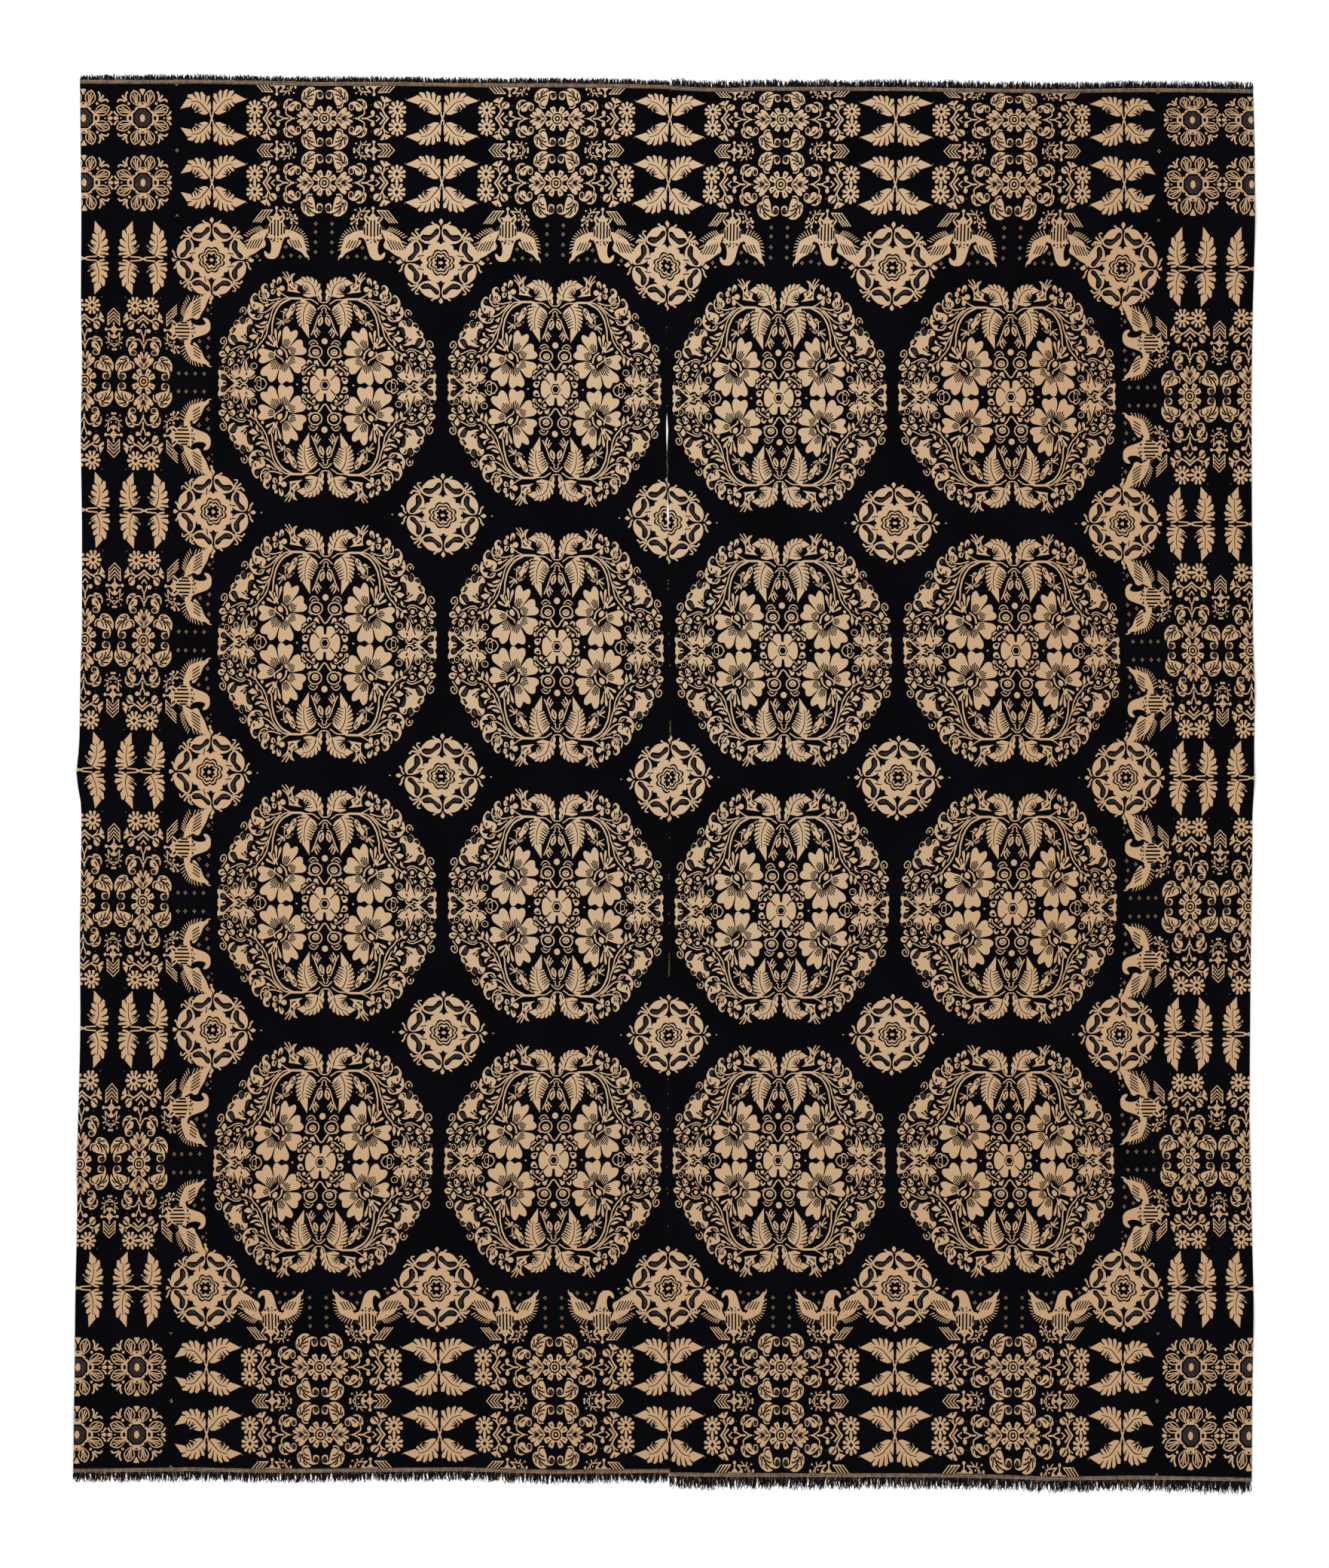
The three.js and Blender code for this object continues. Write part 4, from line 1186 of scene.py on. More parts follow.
def cut_along(rim, shapes):
    """A tile cut along every outline: its points, and its cells with the colour that lies on top."""
    points, faces, colours = [Vector(p) for p in rim], [list(range(len(rim)))], [NAVY]
    for colour, outline in shapes:
        faces.append(list(range(len(points), len(points) + len(outline))))
        points.extend(Vector(p) for p in outline)
        colours.append(colour)
    laid = delaunay_2d_cdt(points, [], faces, 1, CLOSE, True)
    cells = [(cell, colours[max(owner)]) for cell, owner in zip(laid[2], laid[5]) if 0 in owner]
    return laid[0], cells


def lines_kept(points, cells, slack):
    """The tile's rim, and the lines that part two colours, thinned out by up to slack."""
    sides = {}
    for cell, colour in cells:
        for a, b in zip(cell, cell[1:] + cell[:1]):
            sides.setdefault((min(a, b), max(a, b)), []).append(colour)
    kept = [edge for edge, found in sides.items() if len(found) == 1]
    drawn = [edge for edge, found in sides.items() if len(found) == 2 and found[0] != found[1]]
    on_rim = {index for edge in kept for index in edge}
    for run in chains_of(drawn):
        stops = [0] + [k for k in range(1, len(run) - 1) if run[k] in on_rim] + [len(run) - 1]
        for low, high in zip(stops, stops[1:]):
            thin = thin_out(run[low:high + 1], points, slack)
            kept.extend((a, b) for a, b in zip(thin, thin[1:]) if a != b)
    return kept


def cut_tile(sketch, wide, high, low_x, step, slack):
    """A tile's points and triangles, each with its colour, cut out of a sketch.

    The first cut follows every outline. The second drops those that later shapes have covered.
    """
    rim, inside = tile_grid(wide, high, low_x, step)
    first, cells = cut_along(rim, shapes_within(sketch, low_x, low_x + wide, high))
    kept = lines_kept(first, cells, slack)
    used = sorted({index for edge in kept for index in edge})
    number = {index: k for k, index in enumerate(used)}
    points = [first[index] for index in used] + [Vector(p) for p in inside]
    edges = [(number[a], number[b]) for a, b in kept]
    laid = delaunay_2d_cdt(points, edges, [], 0, CLOSE, False)
    second = laid[0]
    finder = BVHTree.FromPolygons([(p[0], p[1], 0.0) for p in first], [cell for cell, _ in cells])
    down = Vector((0, 0, -1))
    triangles = []
    for cell in laid[2]:
        middle = sum((second[index] for index in cell), Vector((0, 0))) / 3
        index = finder.ray_cast(Vector((middle[0], middle[1], 1.0)), down)[2]
        if index is not None:
            triangles.append((tuple(cell), cells[index][1]))
    return [(p[0], p[1]) for p in second], triangles


def stretch(sketch, across, along):
    """The same shapes in another measure."""
    result = Sketch()
    result.add(sketch, lambda x, y: (x * across, y * along))
    return result


def side_bird_tile():
    """A bird of the side borders, longer and less deep, with a quarter of a rosette."""
    s = Sketch()
    grow = HALF_LONG / HALF_WIDE
    s.add(bird(), lambda x, y: ((x + BIRD_ASIDE) * grow, y * SIDE_BIRD / BIRD_DEEP))
    s.add(rosette(), lambda x, y: (HALF_LONG - x, y))
    return s


def band_end_tile():
    """The band beside a corner: only its spray, and the small diamonds between the rows."""
    s = spray_only(CORNER_SPRAY)
    four_dots(s, HALF_WIDE - SIDE_BIRD + 8, BAND_DEEP)
    return s


def cut_tiles(slack, step):
    """Every tile of the pattern, cut to its size."""
    side, side_spray = (stretch(each, HALF_LONG / HALF_WIDE, SIDE_DEEP / BAND_DEEP)
                        for each in (band_unit(SIDE_SPRAY, 0.5), spray_only(SIDE_SPRAY)))
    side_end, corner = HALF_LONG - BIRD_DEEP, corner_tile()
    plans = {
        "field": (field_tile(), HALF_WIDE, HALF_LONG, 0),
        "band": (band_unit(END_SPRAY, 0.4), HALF_WIDE, BAND_DEEP, 0),
        "band end": (band_end_tile(), SIDE_BIRD, BAND_DEEP, HALF_WIDE - SIDE_BIRD),
        "side": (side, HALF_LONG, SIDE_DEEP, 0),
        "side edge": (side, HALF_LONG, CUT_FLOWER, 0),
        "side end": (side_spray, BIRD_DEEP, SIDE_DEEP, side_end),
        "side end edge": (side_spray, BIRD_DEEP, CUT_FLOWER, side_end),
        "bird": (bird_tile(), HALF_WIDE, BIRD_DEEP, 0),
        "side bird": (side_bird_tile(), HALF_LONG, SIDE_BIRD, 0),
        "rosette": (rosette(), SIDE_BIRD, BIRD_DEEP, 0),
        "corner": (corner, SIDE_DEEP, BAND_DEEP, 0),
        "corner edge": (corner, CUT_FLOWER, BAND_DEEP, 0),
    }
    return {name: cut_tile(*plan, step, slack) for name, plan in plans.items()}


def mirrored(starts):
    """Pairs of (start, direction) for tiles that grow both ways from the middles in starts."""
    return [(start, sign) for start in starts for sign in (-1, 1)]


def laid_tiles():
    """How each tile lies on a width: its name and the two lines of its place, u and v."""
    medallions_u = mirrored([BIRD_LINE + HALF_WIDE, BIRD_LINE + 3 * HALF_WIDE])
    medallions_v = mirrored([FIELD_LOW + (2 * k + 1) * HALF_LONG for k in range(4)])
    flowers_v = mirrored([BAND_DEEP, 3 * BAND_DEEP])
    inner = CUT_FLOWER + 2 * SIDE_DEEP
    side_u = [("", CUT_FLOWER, 1), ("", inner, -1), ("", inner, 1), (" edge", CUT_FLOWER, -1)]
    laid = []
    for v, b in medallions_v:
        laid += [("field", (u, a, 0), (v, 0, b)) for u, a in medallions_u]
        laid += [("side" + kind, (u, 0, a), (v, b, 0)) for kind, u, a in side_u]
        laid.append(("side bird", (BIRD_LINE, 0, -1), (v, b, 0)))
    for upper in (False, True):
        def at(v, x, y):
            return (LENGTH - v, -x, -y) if upper else (v, x, y)
        for v, b in flowers_v:
            laid += [("band", (u, a, 0), at(v, 0, b)) for u, a in medallions_u]
            laid.append(("band end", (BIRD_LINE - HALF_WIDE, 1, 0), at(v, 0, b)))
            laid += [("corner" + kind, (u, a, 0), at(v, 0, b)) for kind, u, a in side_u]
        laid += [("bird", (u, a, 0), at(FIELD_LOW, 0, -1)) for u, a in medallions_u]
        laid += [(f"side end{kind}", (u, 0, a), at(FIELD_LOW - HALF_LONG, 1, 0)) for kind, u, a in side_u]
        laid.append(("rosette", (BIRD_LINE, -1, 0), at(FIELD_LOW, 0, -1)))
    return laid


def woven_sheet(slack, step):
    """The whole pattern of one width: woven places, and triangles with their colours."""
    tiles = cut_tiles(slack, step)
    places, index_of, triangles = [], {}, []
    for name, (u0, ux, uy), (v0, vx, vy) in laid_tiles():
        points, cells = tiles[name]
        numbers = []
        for x, y in points:
            u, v = u0 + ux * x + uy * y, v0 + vx * x + vy * y
            key = (round(u, 2), round(v, 2))
            if key not in index_of:
                index_of[key] = len(places)
                places.append((u, v))
            numbers.append(index_of[key])
        turned = ux * vy - uy * vx < 0
        for cell, colour in cells:
            corners = tuple(numbers[k] for k in (cell[::-1] if turned else cell))
            if len(set(corners)) == 3:
                triangles.append((corners, colour))
    return places, triangles


RIB_STEP = 1.4      # the relief's ribs come every two pi of these, about 8.8 mm


def material(name, roughness, sheen=0.0, shine=0.12):
    """An empty node material for one of the coverlet's yarns, with its shader and helpers."""
    made = bpy.data.materials.new(name)
    made.use_nodes = True
    tree = made.node_tree
    shader = next(node for node in tree.nodes if node.type == "BSDF_PRINCIPLED")
    shader.inputs["Roughness"].default_value = roughness
    shader.inputs["Specular IOR Level"].default_value = shine
    shader.inputs["Sheen Weight"].default_value = sheen
    shader.inputs["Sheen Roughness"].default_value = 0.6
    return made, tree, shader


def add(tree, kind, **values):
    """A new node with some of its settings."""
    node = tree.nodes.new(kind)
    for key, value in values.items():
        setattr(node, key, value)
    return node


def scaled_place(tree, scale):
    """Object coordinates scaled along each axis."""
    place = add(tree, "ShaderNodeTexCoord")
    mapping = add(tree, "ShaderNodeMapping")
    mapping.inputs["Scale"].default_value = scale
    tree.links.new(place.outputs["Object"], mapping.inputs["Vector"])
    return mapping.outputs["Vector"]


def cloud(tree, scale, detail=2.0, low=0.35, high=0.65):
    """Noise stretched along the axes and spread from nought to one."""
    texture = add(tree, "ShaderNodeTexNoise")
    texture.inputs["Scale"].default_value = 1.0
    texture.inputs["Detail"].default_value = detail
    tree.links.new(scaled_place(tree, scale), texture.inputs["Vector"])
    spread = add(tree, "ShaderNodeMapRange")
    spread.inputs["From Min"].default_value = low
    spread.inputs["From Max"].default_value = high
    tree.links.new(texture.outputs["Fac"], spread.inputs["Value"])
    return spread.outputs["Result"]


def blend(tree, share, first, second):
    """A colour between two: each is a colour or another node's output."""
    mix = add(tree, "ShaderNodeMix", data_type="RGBA")
    tree.links.new(share, mix.inputs["Factor"])
    for socket, value in (("A_Color", first), ("B_Color", second)):
        slot = next(s for s in mix.inputs if s.identifier == socket)
        if isinstance(value, bpy.types.NodeSocket):
            tree.links.new(value, slot)
        else:
            slot.default_value = (*value[:3], 1.0)
    return next(s for s in mix.outputs if s.identifier == "Result_Color")


def scale_of(tree, value, factor):
    """A value times a fixed factor."""
    node = add(tree, "ShaderNodeMath", operation="MULTIPLY")
    tree.links.new(value, node.inputs[0])
    node.inputs[1].default_value = factor
    return node.outputs[0]


def product(tree, one, other):
    """Two values multiplied."""
    node = add(tree, "ShaderNodeMath", operation="MULTIPLY")
    tree.links.new(one, node.inputs[0])
    tree.links.new(other, node.inputs[1])
    return node.outputs[0]


def threads(tree, pitch):
    """Soft ribs across and along, as one height from nought to one, every two pi of a pitch."""
    heights = []
    for direction, phase in (("X", 0.0), ("Y", 1.5)):
        wave = add(tree, "ShaderNodeTexWave", wave_type="BANDS", bands_direction=direction)
        wave.inputs["Scale"].default_value = 1.0 / (pitch * MM) / math.tau * 0.314
        wave.inputs["Distortion"].default_value = 0.6
        wave.inputs["Detail"].default_value = 0.0
        wave.inputs["Phase Offset"].default_value = phase
        tree.links.new(scaled_place(tree, (1, 1, 1)), wave.inputs["Vector"])
        heights.append(wave.outputs["Fac"])
    return product(tree, *heights)


def rough_up(tree, shader, height, depth):
    """A relief of so many mm on a surface."""
    bump = add(tree, "ShaderNodeBump")
    bump.inputs["Strength"].default_value = 0.5
    bump.inputs["Distance"].default_value = depth * MM
    tree.links.new(height, bump.inputs["Height"])
    tree.links.new(bump.outputs["Normal"], shader.inputs["Normal"])


def along_axis(tree, axis, middle, start, end):
    """Nought within start of a middle line and one from end on, in mm along an axis."""
    place = add(tree, "ShaderNodeTexCoord")
    parts = add(tree, "ShaderNodeSeparateXYZ")
    tree.links.new(place.outputs["Object"], parts.inputs["Vector"])
    offset = add(tree, "ShaderNodeMath", operation="SUBTRACT")
    tree.links.new(parts.outputs[axis], offset.inputs[0])
    offset.inputs[1].default_value = middle * MM
    away = add(tree, "ShaderNodeMath", operation="ABSOLUTE")
    tree.links.new(offset.outputs[0], away.inputs[0])
    spread = add(tree, "ShaderNodeMapRange", interpolation_type="SMOOTHSTEP")
    spread.inputs["From Min"].default_value = start * MM
    spread.inputs["From Max"].default_value = end * MM
    tree.links.new(away.outputs[0], spread.inputs["Value"])
    return spread.outputs["Result"]


def shaded(colour, share):
    """A colour made darker, or lighter where share is over one."""
    return tuple(value * share for value in colour[:3])


def cream_cotton(colours):
    """The light cotton: painted light makes it lighter at the top and painted shade makes it browner below;
    it is also browner at the sides, and a little worn.
    """
    made, tree, shader = material("cream cotton", 0.88, 0.1)
    # Painted light: the cotton is drawn lighter towards the top.
    painted_light_top = blend(tree, along_axis(tree, "Y", 1300, 300, 1000), shaded(colours.cream, 1.07), colours.cream)
    tan = blend(tree, along_axis(tree, "X", -90, 200, 850), painted_light_top, colours.tan)
    # Painted shade: the cotton is drawn darker and browner towards the bottom.
    painted_shade_below = blend(tree, along_axis(tree, "Y", 1300, 1300, 2500), tan, colours.tan)
    streak = cloud(tree, (420, 9, 1), 1.0)
    streaked = blend(tree, scale_of(tree, streak, 0.16), painted_shade_below, shaded(colours.cream, 0.72))
    patches = cloud(tree, (7, 6, 1), 3.0)
    aged = blend(tree, scale_of(tree, patches, 0.14), streaked, shaded(colours.tan, 0.86))
    specks = cloud(tree, (620, 620, 620), 1.0, 0.42, 0.72)
    speckled = blend(tree, scale_of(tree, specks, 0.2), aged, shaded(colours.cream, 0.55))
    tree.links.new(speckled, shader.inputs["Base Color"])
    rough_up(tree, shader, threads(tree, RIB_STEP), 0.35)
    return made


def navy_wool(colours):
    """The dark wool, nearly black, with a faint fuzz."""
    made, tree, shader = material("navy wool", 0.93, 0.01, 0.02)
    patches = cloud(tree, (9, 7, 1), 3.0)
    aged = blend(tree, patches, colours.navy, shaded(colours.navy, 0.6))
    fuzz = cloud(tree, (540, 540, 540), 2.0, 0.5, 0.8)
    fuzzy = blend(tree, scale_of(tree, fuzz, 0.35), aged, shaded(colours.grey, 0.03))
    tree.links.new(fuzzy, shader.inputs["Base Color"])
    rough_up(tree, shader, threads(tree, RIB_STEP), 0.4)
    return made


def mixed_weave(colours):
    """Where both webs show at once: fine uneven lines of navy and grey."""
    made, tree, shader = material("mixed weave", 0.92, 0.0, 0.02)
    wave = add(tree, "ShaderNodeTexWave", wave_type="BANDS", bands_direction="DIAGONAL")
    wave.inputs["Scale"].default_value = 95
    wave.inputs["Distortion"].default_value = 3.0
    wave.inputs["Detail"].default_value = 2.0
    wave.inputs["Detail Scale"].default_value = 2.0
    tree.links.new(scaled_place(tree, (1, 1, 0)), wave.inputs["Vector"])
    hatched = blend(tree, wave.outputs["Fac"], shaded(colours.navy, 4), colours.grey)
    patches = cloud(tree, (60, 60, 60), 2.0)
    uneven = blend(tree, scale_of(tree, patches, 0.5), hatched, shaded(colours.grey, 0.25))
    tree.links.new(uneven, shader.inputs["Base Color"])
    rough_up(tree, shader, threads(tree, RIB_STEP), 0.4)
    return made


def yarn(name, colour, shade):
    """A plain yarn for headings, fringes and sewing."""
    made, tree, shader = material(name, 0.9)
    clouds = cloud(tree, (260, 90, 260), 2.0)
    toned = blend(tree, clouds, colour, shaded(colour, shade))
    tree.links.new(toned, shader.inputs["Base Color"])
    rough_up(tree, shader, cloud(tree, (900, 900, 900), 1.0), 0.2)
    return made


def mesh_object(name, points, faces, surfaces, marks=None):
    """A smooth mesh at the origin from points in mm; marks say which surface each face has."""
    mesh = bpy.data.meshes.new(name)
    mesh.from_pydata([(x * MM, y * MM, z * MM) for x, y, z in points], [], faces)
    for surface in surfaces:
        mesh.materials.append(surface)
    if marks:
        mesh.polygons.foreach_set("material_index", marks)
    mesh.polygons.foreach_set("use_smooth", [True] * len(faces))
    mesh.update()
    made = bpy.data.objects.new(name, mesh)
    bpy.context.scene.collection.objects.link(made)
    return made


def pick(points, faces, marks):
    """Only the points that the faces use, renumbered."""
    used = sorted({index for face in faces for index in face})
    number = {index: k for k, index in enumerate(used)}
    return [points[index] for index in used], [tuple(number[i] for i in face) for face in faces], marks


# How far each face of the cloth draws in at its edges, and over what width, in mm.
EDGE_FALL, EDGE_WIDE = 0.5, 2.5


def web_meshes(width, front, back, sizes):
    """Both webs of one width: for each, points, faces and marks."""
    points, offsets = [], []
    for (places, _), level in ((front, sizes.cloth_thickness), (back, 0.0)):
        offsets.append(len(points))
        for u, v in places:
            x, y = width.place(u, v)
            edge = min(u, WIDTH - u, v, LENGTH - v)
            fall = EDGE_FALL * (1 - smooth_step(edge / EDGE_WIDE))
            rest = ridge_lift(x, y) + ripple(x, y) * 0.4
            points.append((x, y, rest + (level - fall if level else fall)))
    flip = width.side == "right"
    webs = {NAVY: ([], []), CREAM: ([], [])}
    for (_, triangles), offset, reverse in ((front, offsets[0], False), (back, offsets[1], True)):
        for corners, colour in triangles:
            face = tuple(offset + index for index in corners)
            if reverse != flip:
                face = face[::-1]
            shown = colour if not reverse or colour == MIXED else (CREAM if colour == NAVY else NAVY)
            faces, marks = webs[NAVY if shown == NAVY else CREAM]
            faces.append(face)
            marks.append(1 if shown == MIXED else 0)
    faces, marks = webs[NAVY]
    for wall in rim_walls(front[0], back[0], offsets, flip):
        faces.append(wall)
        marks.append(0)
    return {colour: pick(points, faces, marks) for colour, (faces, marks) in webs.items()}


def rim_walls(front, back, offsets, flip):
    """Faces between the front and back along the four edges of a width."""
    walls = []
    tests = ((0, 0.0, 1), (0, WIDTH, -1), (1, 0.0, -1), (1, LENGTH, 1))
    for axis, line, turn in tests:
        runs = []
        for places, offset in zip((front, back), offsets):
            found = [(place[1 - axis], offset + k) for k, place in enumerate(places)
                     if abs(place[axis] - line) < 0.005]
            runs.append(sorted(found))
        top, under = runs
        i = j = 0
        while i < len(top) - 1 or j < len(under) - 1:
            step_top = j == len(under) - 1 or (i < len(top) - 1 and top[i + 1][0] <= under[j + 1][0])
            if step_top:
                wall = (top[i][1], top[i + 1][1], under[j][1])
                i += 1
            else:
                wall = (under[j][1], top[i][1], under[j + 1][1])
                j += 1
            walls.append(wall if (turn > 0) == flip else wall[::-1])
    return walls


class CoverletSizes(bpy.types.PropertyGroup):
    cloth_thickness: FloatProperty(
        name="Cloth thickness", description="Both webs together, in mm", default=2.0, min=1.0, max=3.0)
    front_slack: FloatProperty(
        name="Outline slack", description="How far the motifs' outlines may be simplified, in mm",
        default=0.4, min=0.1, max=2.0)
    back_slack: FloatProperty(
        name="Back outline slack", description="The same on the back, in mm", default=2.2, min=0.1, max=4.0)
    mesh_step: FloatProperty(
        name="Mesh step", description="The spacing of the points inside a plain area, in mm",
        default=26.0, min=5.0, max=60.0)
    strands: IntProperty(
        name="Strands", description="Loose warp ends in each fringe", default=900, min=50, max=1500)
    stitch: FloatProperty(
        name="Stitch spacing", description="From one seam stitch to the next, in mm", default=7.0,
        min=2.0, max=20.0)


class CoverletColours(bpy.types.PropertyGroup):
    navy: FloatVectorProperty(
        name="Navy", description="The dark web's wool", subtype="COLOR", default=(0.0016, 0.0014, 0.0026))
    cream: FloatVectorProperty(
        name="Cream", description="The light web's cotton", subtype="COLOR", default=(0.49, 0.342, 0.208))
    # Tan is also used as the painted shade that darkens the cotton towards the bottom.
    tan: FloatVectorProperty(
        name="Tan", description="The same cotton near the selvedges, where it is browner", subtype="COLOR",
        default=(0.455, 0.283, 0.152))
    grey: FloatVectorProperty(
        name="Grey", description="The light lines in the closely mixed areas", subtype="COLOR",
        default=(0.05, 0.038, 0.031))
    thread: FloatVectorProperty(
        name="Thread", description="The pale yarn of the headings, fringes and sewing", subtype="COLOR",
        default=(0.34, 0.23, 0.145))
    floor: FloatVectorProperty(
        name="Floor", description="The floor that the coverlet lies on", subtype="COLOR",
        default=(0.86, 0.86, 0.86))


def settings():
    """The sizes and colours that the panel shows."""
    return bpy.context.scene.coverlet_sizes, bpy.context.scene.coverlet_colours


def surface_of(name, make):
    """A material made once and shared by the pieces."""
    return bpy.data.materials.get(name) or make(settings()[1])


class COVERLET_OT_widths(bpy.types.Operator):
    """Weave both loom widths, each as a navy web and a cream web that change places"""

    bl_idname = "coverlet.widths"
    bl_label = "Weave the widths"

    def execute(self, context):
        sizes, _ = settings()
        front = woven_sheet(sizes.front_slack, sizes.mesh_step)
        back = woven_sheet(sizes.back_slack, sizes.mesh_step)
        navy = surface_of("navy wool", navy_wool)
        cream = surface_of("cream cotton", cream_cotton)
        mixed = surface_of("mixed weave", mixed_weave)
        for side in ("left", "right"):
            width = Width(side)
            meshes = web_meshes(width, front, back, sizes)
            for colour, word, surfaces in ((NAVY, "navy", [navy, navy]), (CREAM, "cream", [cream, mixed])):
                points, faces, marks = meshes[colour]
                web = mesh_object(f"{word}_web_{side}", points, faces, surfaces, marks)
                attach(web, "root")
                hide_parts(f"panel_{side}")
        return {"FINISHED"}


# The headings' stripes from the hem outwards, in mm, and how much each stands up.
STRIPES = (
    {"from": 0.0, "yarn": "navy", "rise": -0.1},
    {"from": 0.5, "yarn": "worn", "rise": 0.2},
    {"from": 2.5, "yarn": "navy", "rise": -0.3},
    {"from": 3.1, "yarn": "tan", "rise": 0.2},
    {"from": 4.2, "yarn": "navy", "rise": -0.3},
    {"from": 5.2, "yarn": "tan", "rise": 0.3},
    {"from": 6.5, "yarn": "navy", "rise": -0.2},
)

# The loose warp ends at each end of each width: their lengths in mm, what share of them is light,
# and whether the light ones are worn short.
FRINGES = (
    {"side": "left", "end": "top", "shortest": 6.5, "longest": 12.0, "light": 0.3, "worn": False},
    {"side": "right", "end": "top", "shortest": 8.5, "longest": 15.5, "light": 0.22, "worn": False},
    {"side": "left", "end": "bottom", "shortest": 13.5, "longest": 19.5, "light": 0.45, "worn": True},
    {"side": "right", "end": "bottom", "shortest": 15.0, "longest": 24.0, "light": 0.3, "worn": False},
)
HEADING_DEEP = 7.6      # depth of a heading, in mm
HEADING_COLUMNS = 190   # cells of a heading along its hem
OPEN_SEAM = 0.9         # a seam this wide is open and has no sewing, in mm


class Mesh:
    """Points, faces and their surfaces, gathered piece by piece."""

    def __init__(self):
        self.points, self.faces, self.marks = [], [], []

    def grid(self, rows, mark_of):
        """Rows of points joined into cells; mark_of gives the surface of each row of cells."""
        start, wide = len(self.points), len(rows[0])
        for row in rows:
            self.points.extend(row)
        for j in range(len(rows) - 1):
            for i in range(wide - 1):
                a = start + j * wide + i
                self.faces.append((a, a + 1, a + wide + 1, a + wide))
                self.marks.append(mark_of(j))

    def strand(self, line, start_width, end_width, mark):
        """A thread with three sides along a line of points."""
        first, last = len(self.points), len(line) - 1
        for i, (x, y, z) in enumerate(line):
            ax, ay, _ = line[max(i - 1, 0)]
            bx, by, _ = line[min(i + 1, last)]
            far = math.hypot(bx - ax, by - ay) or 1.0
            half = (start_width + (end_width - start_width) * i / last) / 2
            nx, ny = -(by - ay) / far * half, (bx - ax) / far * half
            self.points += [(x + nx, y + ny, z - half * 0.5), (x, y, z + half * 0.7),
                            (x - nx, y - ny, z - half * 0.5)]
        for i in range(last):
            for a, b in ((0, 1), (1, 2), (2, 0)):
                p = first + 3 * i
                self.faces.append((p + b, p + a, p + 3 + a, p + 3 + b))
                self.marks.append(mark)
        self.faces += [(first, first + 1, first + 2), tuple(first + 3 * last + k for k in (2, 1, 0))]
        self.marks += [mark, mark]


def heading(mesh, width, end, thickness):
    """The striped band outside a hem, as uneven as the hem is."""
    hem = width.high_hem if end == "top" else width.low_hem
    outward = 1 if end == "top" else -1
    low, high = hem[0][0], hem[-1][0]
    borders = [stripe["from"] for stripe in STRIPES] + [HEADING_DEEP]
    rises = [0.0] + [stripe["rise"] for stripe in STRIPES]
    rows = [[] for _ in range(len(borders) + 2)]
    for i in range(HEADING_COLUMNS + 1):
        x = low + (high - low) * i / HEADING_COLUMNS
        y = read_line(hem, x)
        rest = ridge_lift(x, y) + 0.2 * noise.noise(Vector((x / 9, y, 2.0)))
        for j, border in enumerate(borders):
            sway = 0.32 * noise.noise(Vector((x / 26, j * 3.7, outward))) if 0 < j < len(borders) - 1 else 0
            lift = 0 if j == 0 else (rises[j] + rises[min(j + 1, len(rises) - 1)]) / 2
            rows[j].append((x, y + outward * (0.12 + border + sway), thickness - 0.3 + rest + lift))
        rows[-2].append((x, y + outward * (HEADING_DEEP + 0.2), 0.5 + rest * 0.6))
        rows[-1].append((x, y + outward * HEADING_DEEP * 0.5, 0.2))
    if outward > 0:
        rows = [row[::-1] for row in rows]
    yarns = [("navy", "tan", "worn").index(stripe["yarn"]) for stripe in STRIPES]
    mesh.grid(rows, lambda j: yarns[j] if j < len(yarns) else 0)


def fringe(mesh, width, row, strands, thickness):
    """Warp ends, worn to uneven lengths: broad dark locks, and fine ends of both colours over them."""
    picker = random.Random(f"{row['side']} {row['end']}")
    hem = width.high_hem if row["end"] == "top" else width.low_hem
    outward = 1 if row["end"] == "top" else -1
    low, high = hem[0][0] + 0.8, hem[-1][0] - 0.8
    for layer, share_of in (("locks", 0.4), ("ends", 1.0)):
        count = int(strands * share_of)
        for k in range(count):
            x = low + (high - low) * (k + picker.uniform(0.1, 0.9)) / count
            y = read_line(hem, x) + outward * (HEADING_DEEP - 1.2)
            wave = 0.5 + 0.5 * noise.noise(Vector((x / 21, outward * 5.0, 1.7)))
            share = min(1.0, max(0.0, wave * 0.75 + picker.uniform(-0.3, 0.45)))
            length = row["shortest"] + (row["longest"] - row["shortest"]) * share
            light = layer == "ends" and picker.random() < row["light"]
            if layer == "locks":
                length *= 0.88
            elif light:
                length *= picker.uniform(0.3, 0.7) if row["worn"] else picker.uniform(0.5, 0.85)
            lean = picker.gauss(0, 0.14) + 0.28 * noise.noise(Vector((x / 14, 9.0, outward)))
            curl = picker.gauss(0, 0.3 if light else 0.12)
            above = 0.0 if layer == "locks" else picker.uniform(0.3, 0.7) + (0.4 if light else 0)
            top = thickness * 0.5 + above
            line = []
            for i in range(4):
                t = i / 3
                side = x + length * (lean * t + curl * math.sin(math.pi * t))
                side = min(max(side, low - 0.4), high + 0.4)
                line.append((side, y + outward * length * t, top + (0.75 - top) * smooth_step(t * 1.2)))
            if layer == "locks":
                mesh.strand(line, picker.uniform(4.2, 5.8), 0.9, 0)
            elif light:
                mesh.strand(line, picker.uniform(0.75, 1.1), 0.6, 1)
            else:
                mesh.strand(line, picker.uniform(1.2, 1.9), 0.5, 0)


def warp_yarns():
    """The dark and the light warp and the worn weft, made once."""
    colours = settings()[1]
    plans = (("navy warp", colours.navy, 2.2), ("tan warp", colours.thread, 0.55),
             ("worn weft", shaded(colours.thread, 0.5), 0.45))
    return [bpy.data.materials.get(plan[0]) or yarn(*plan) for plan in plans]


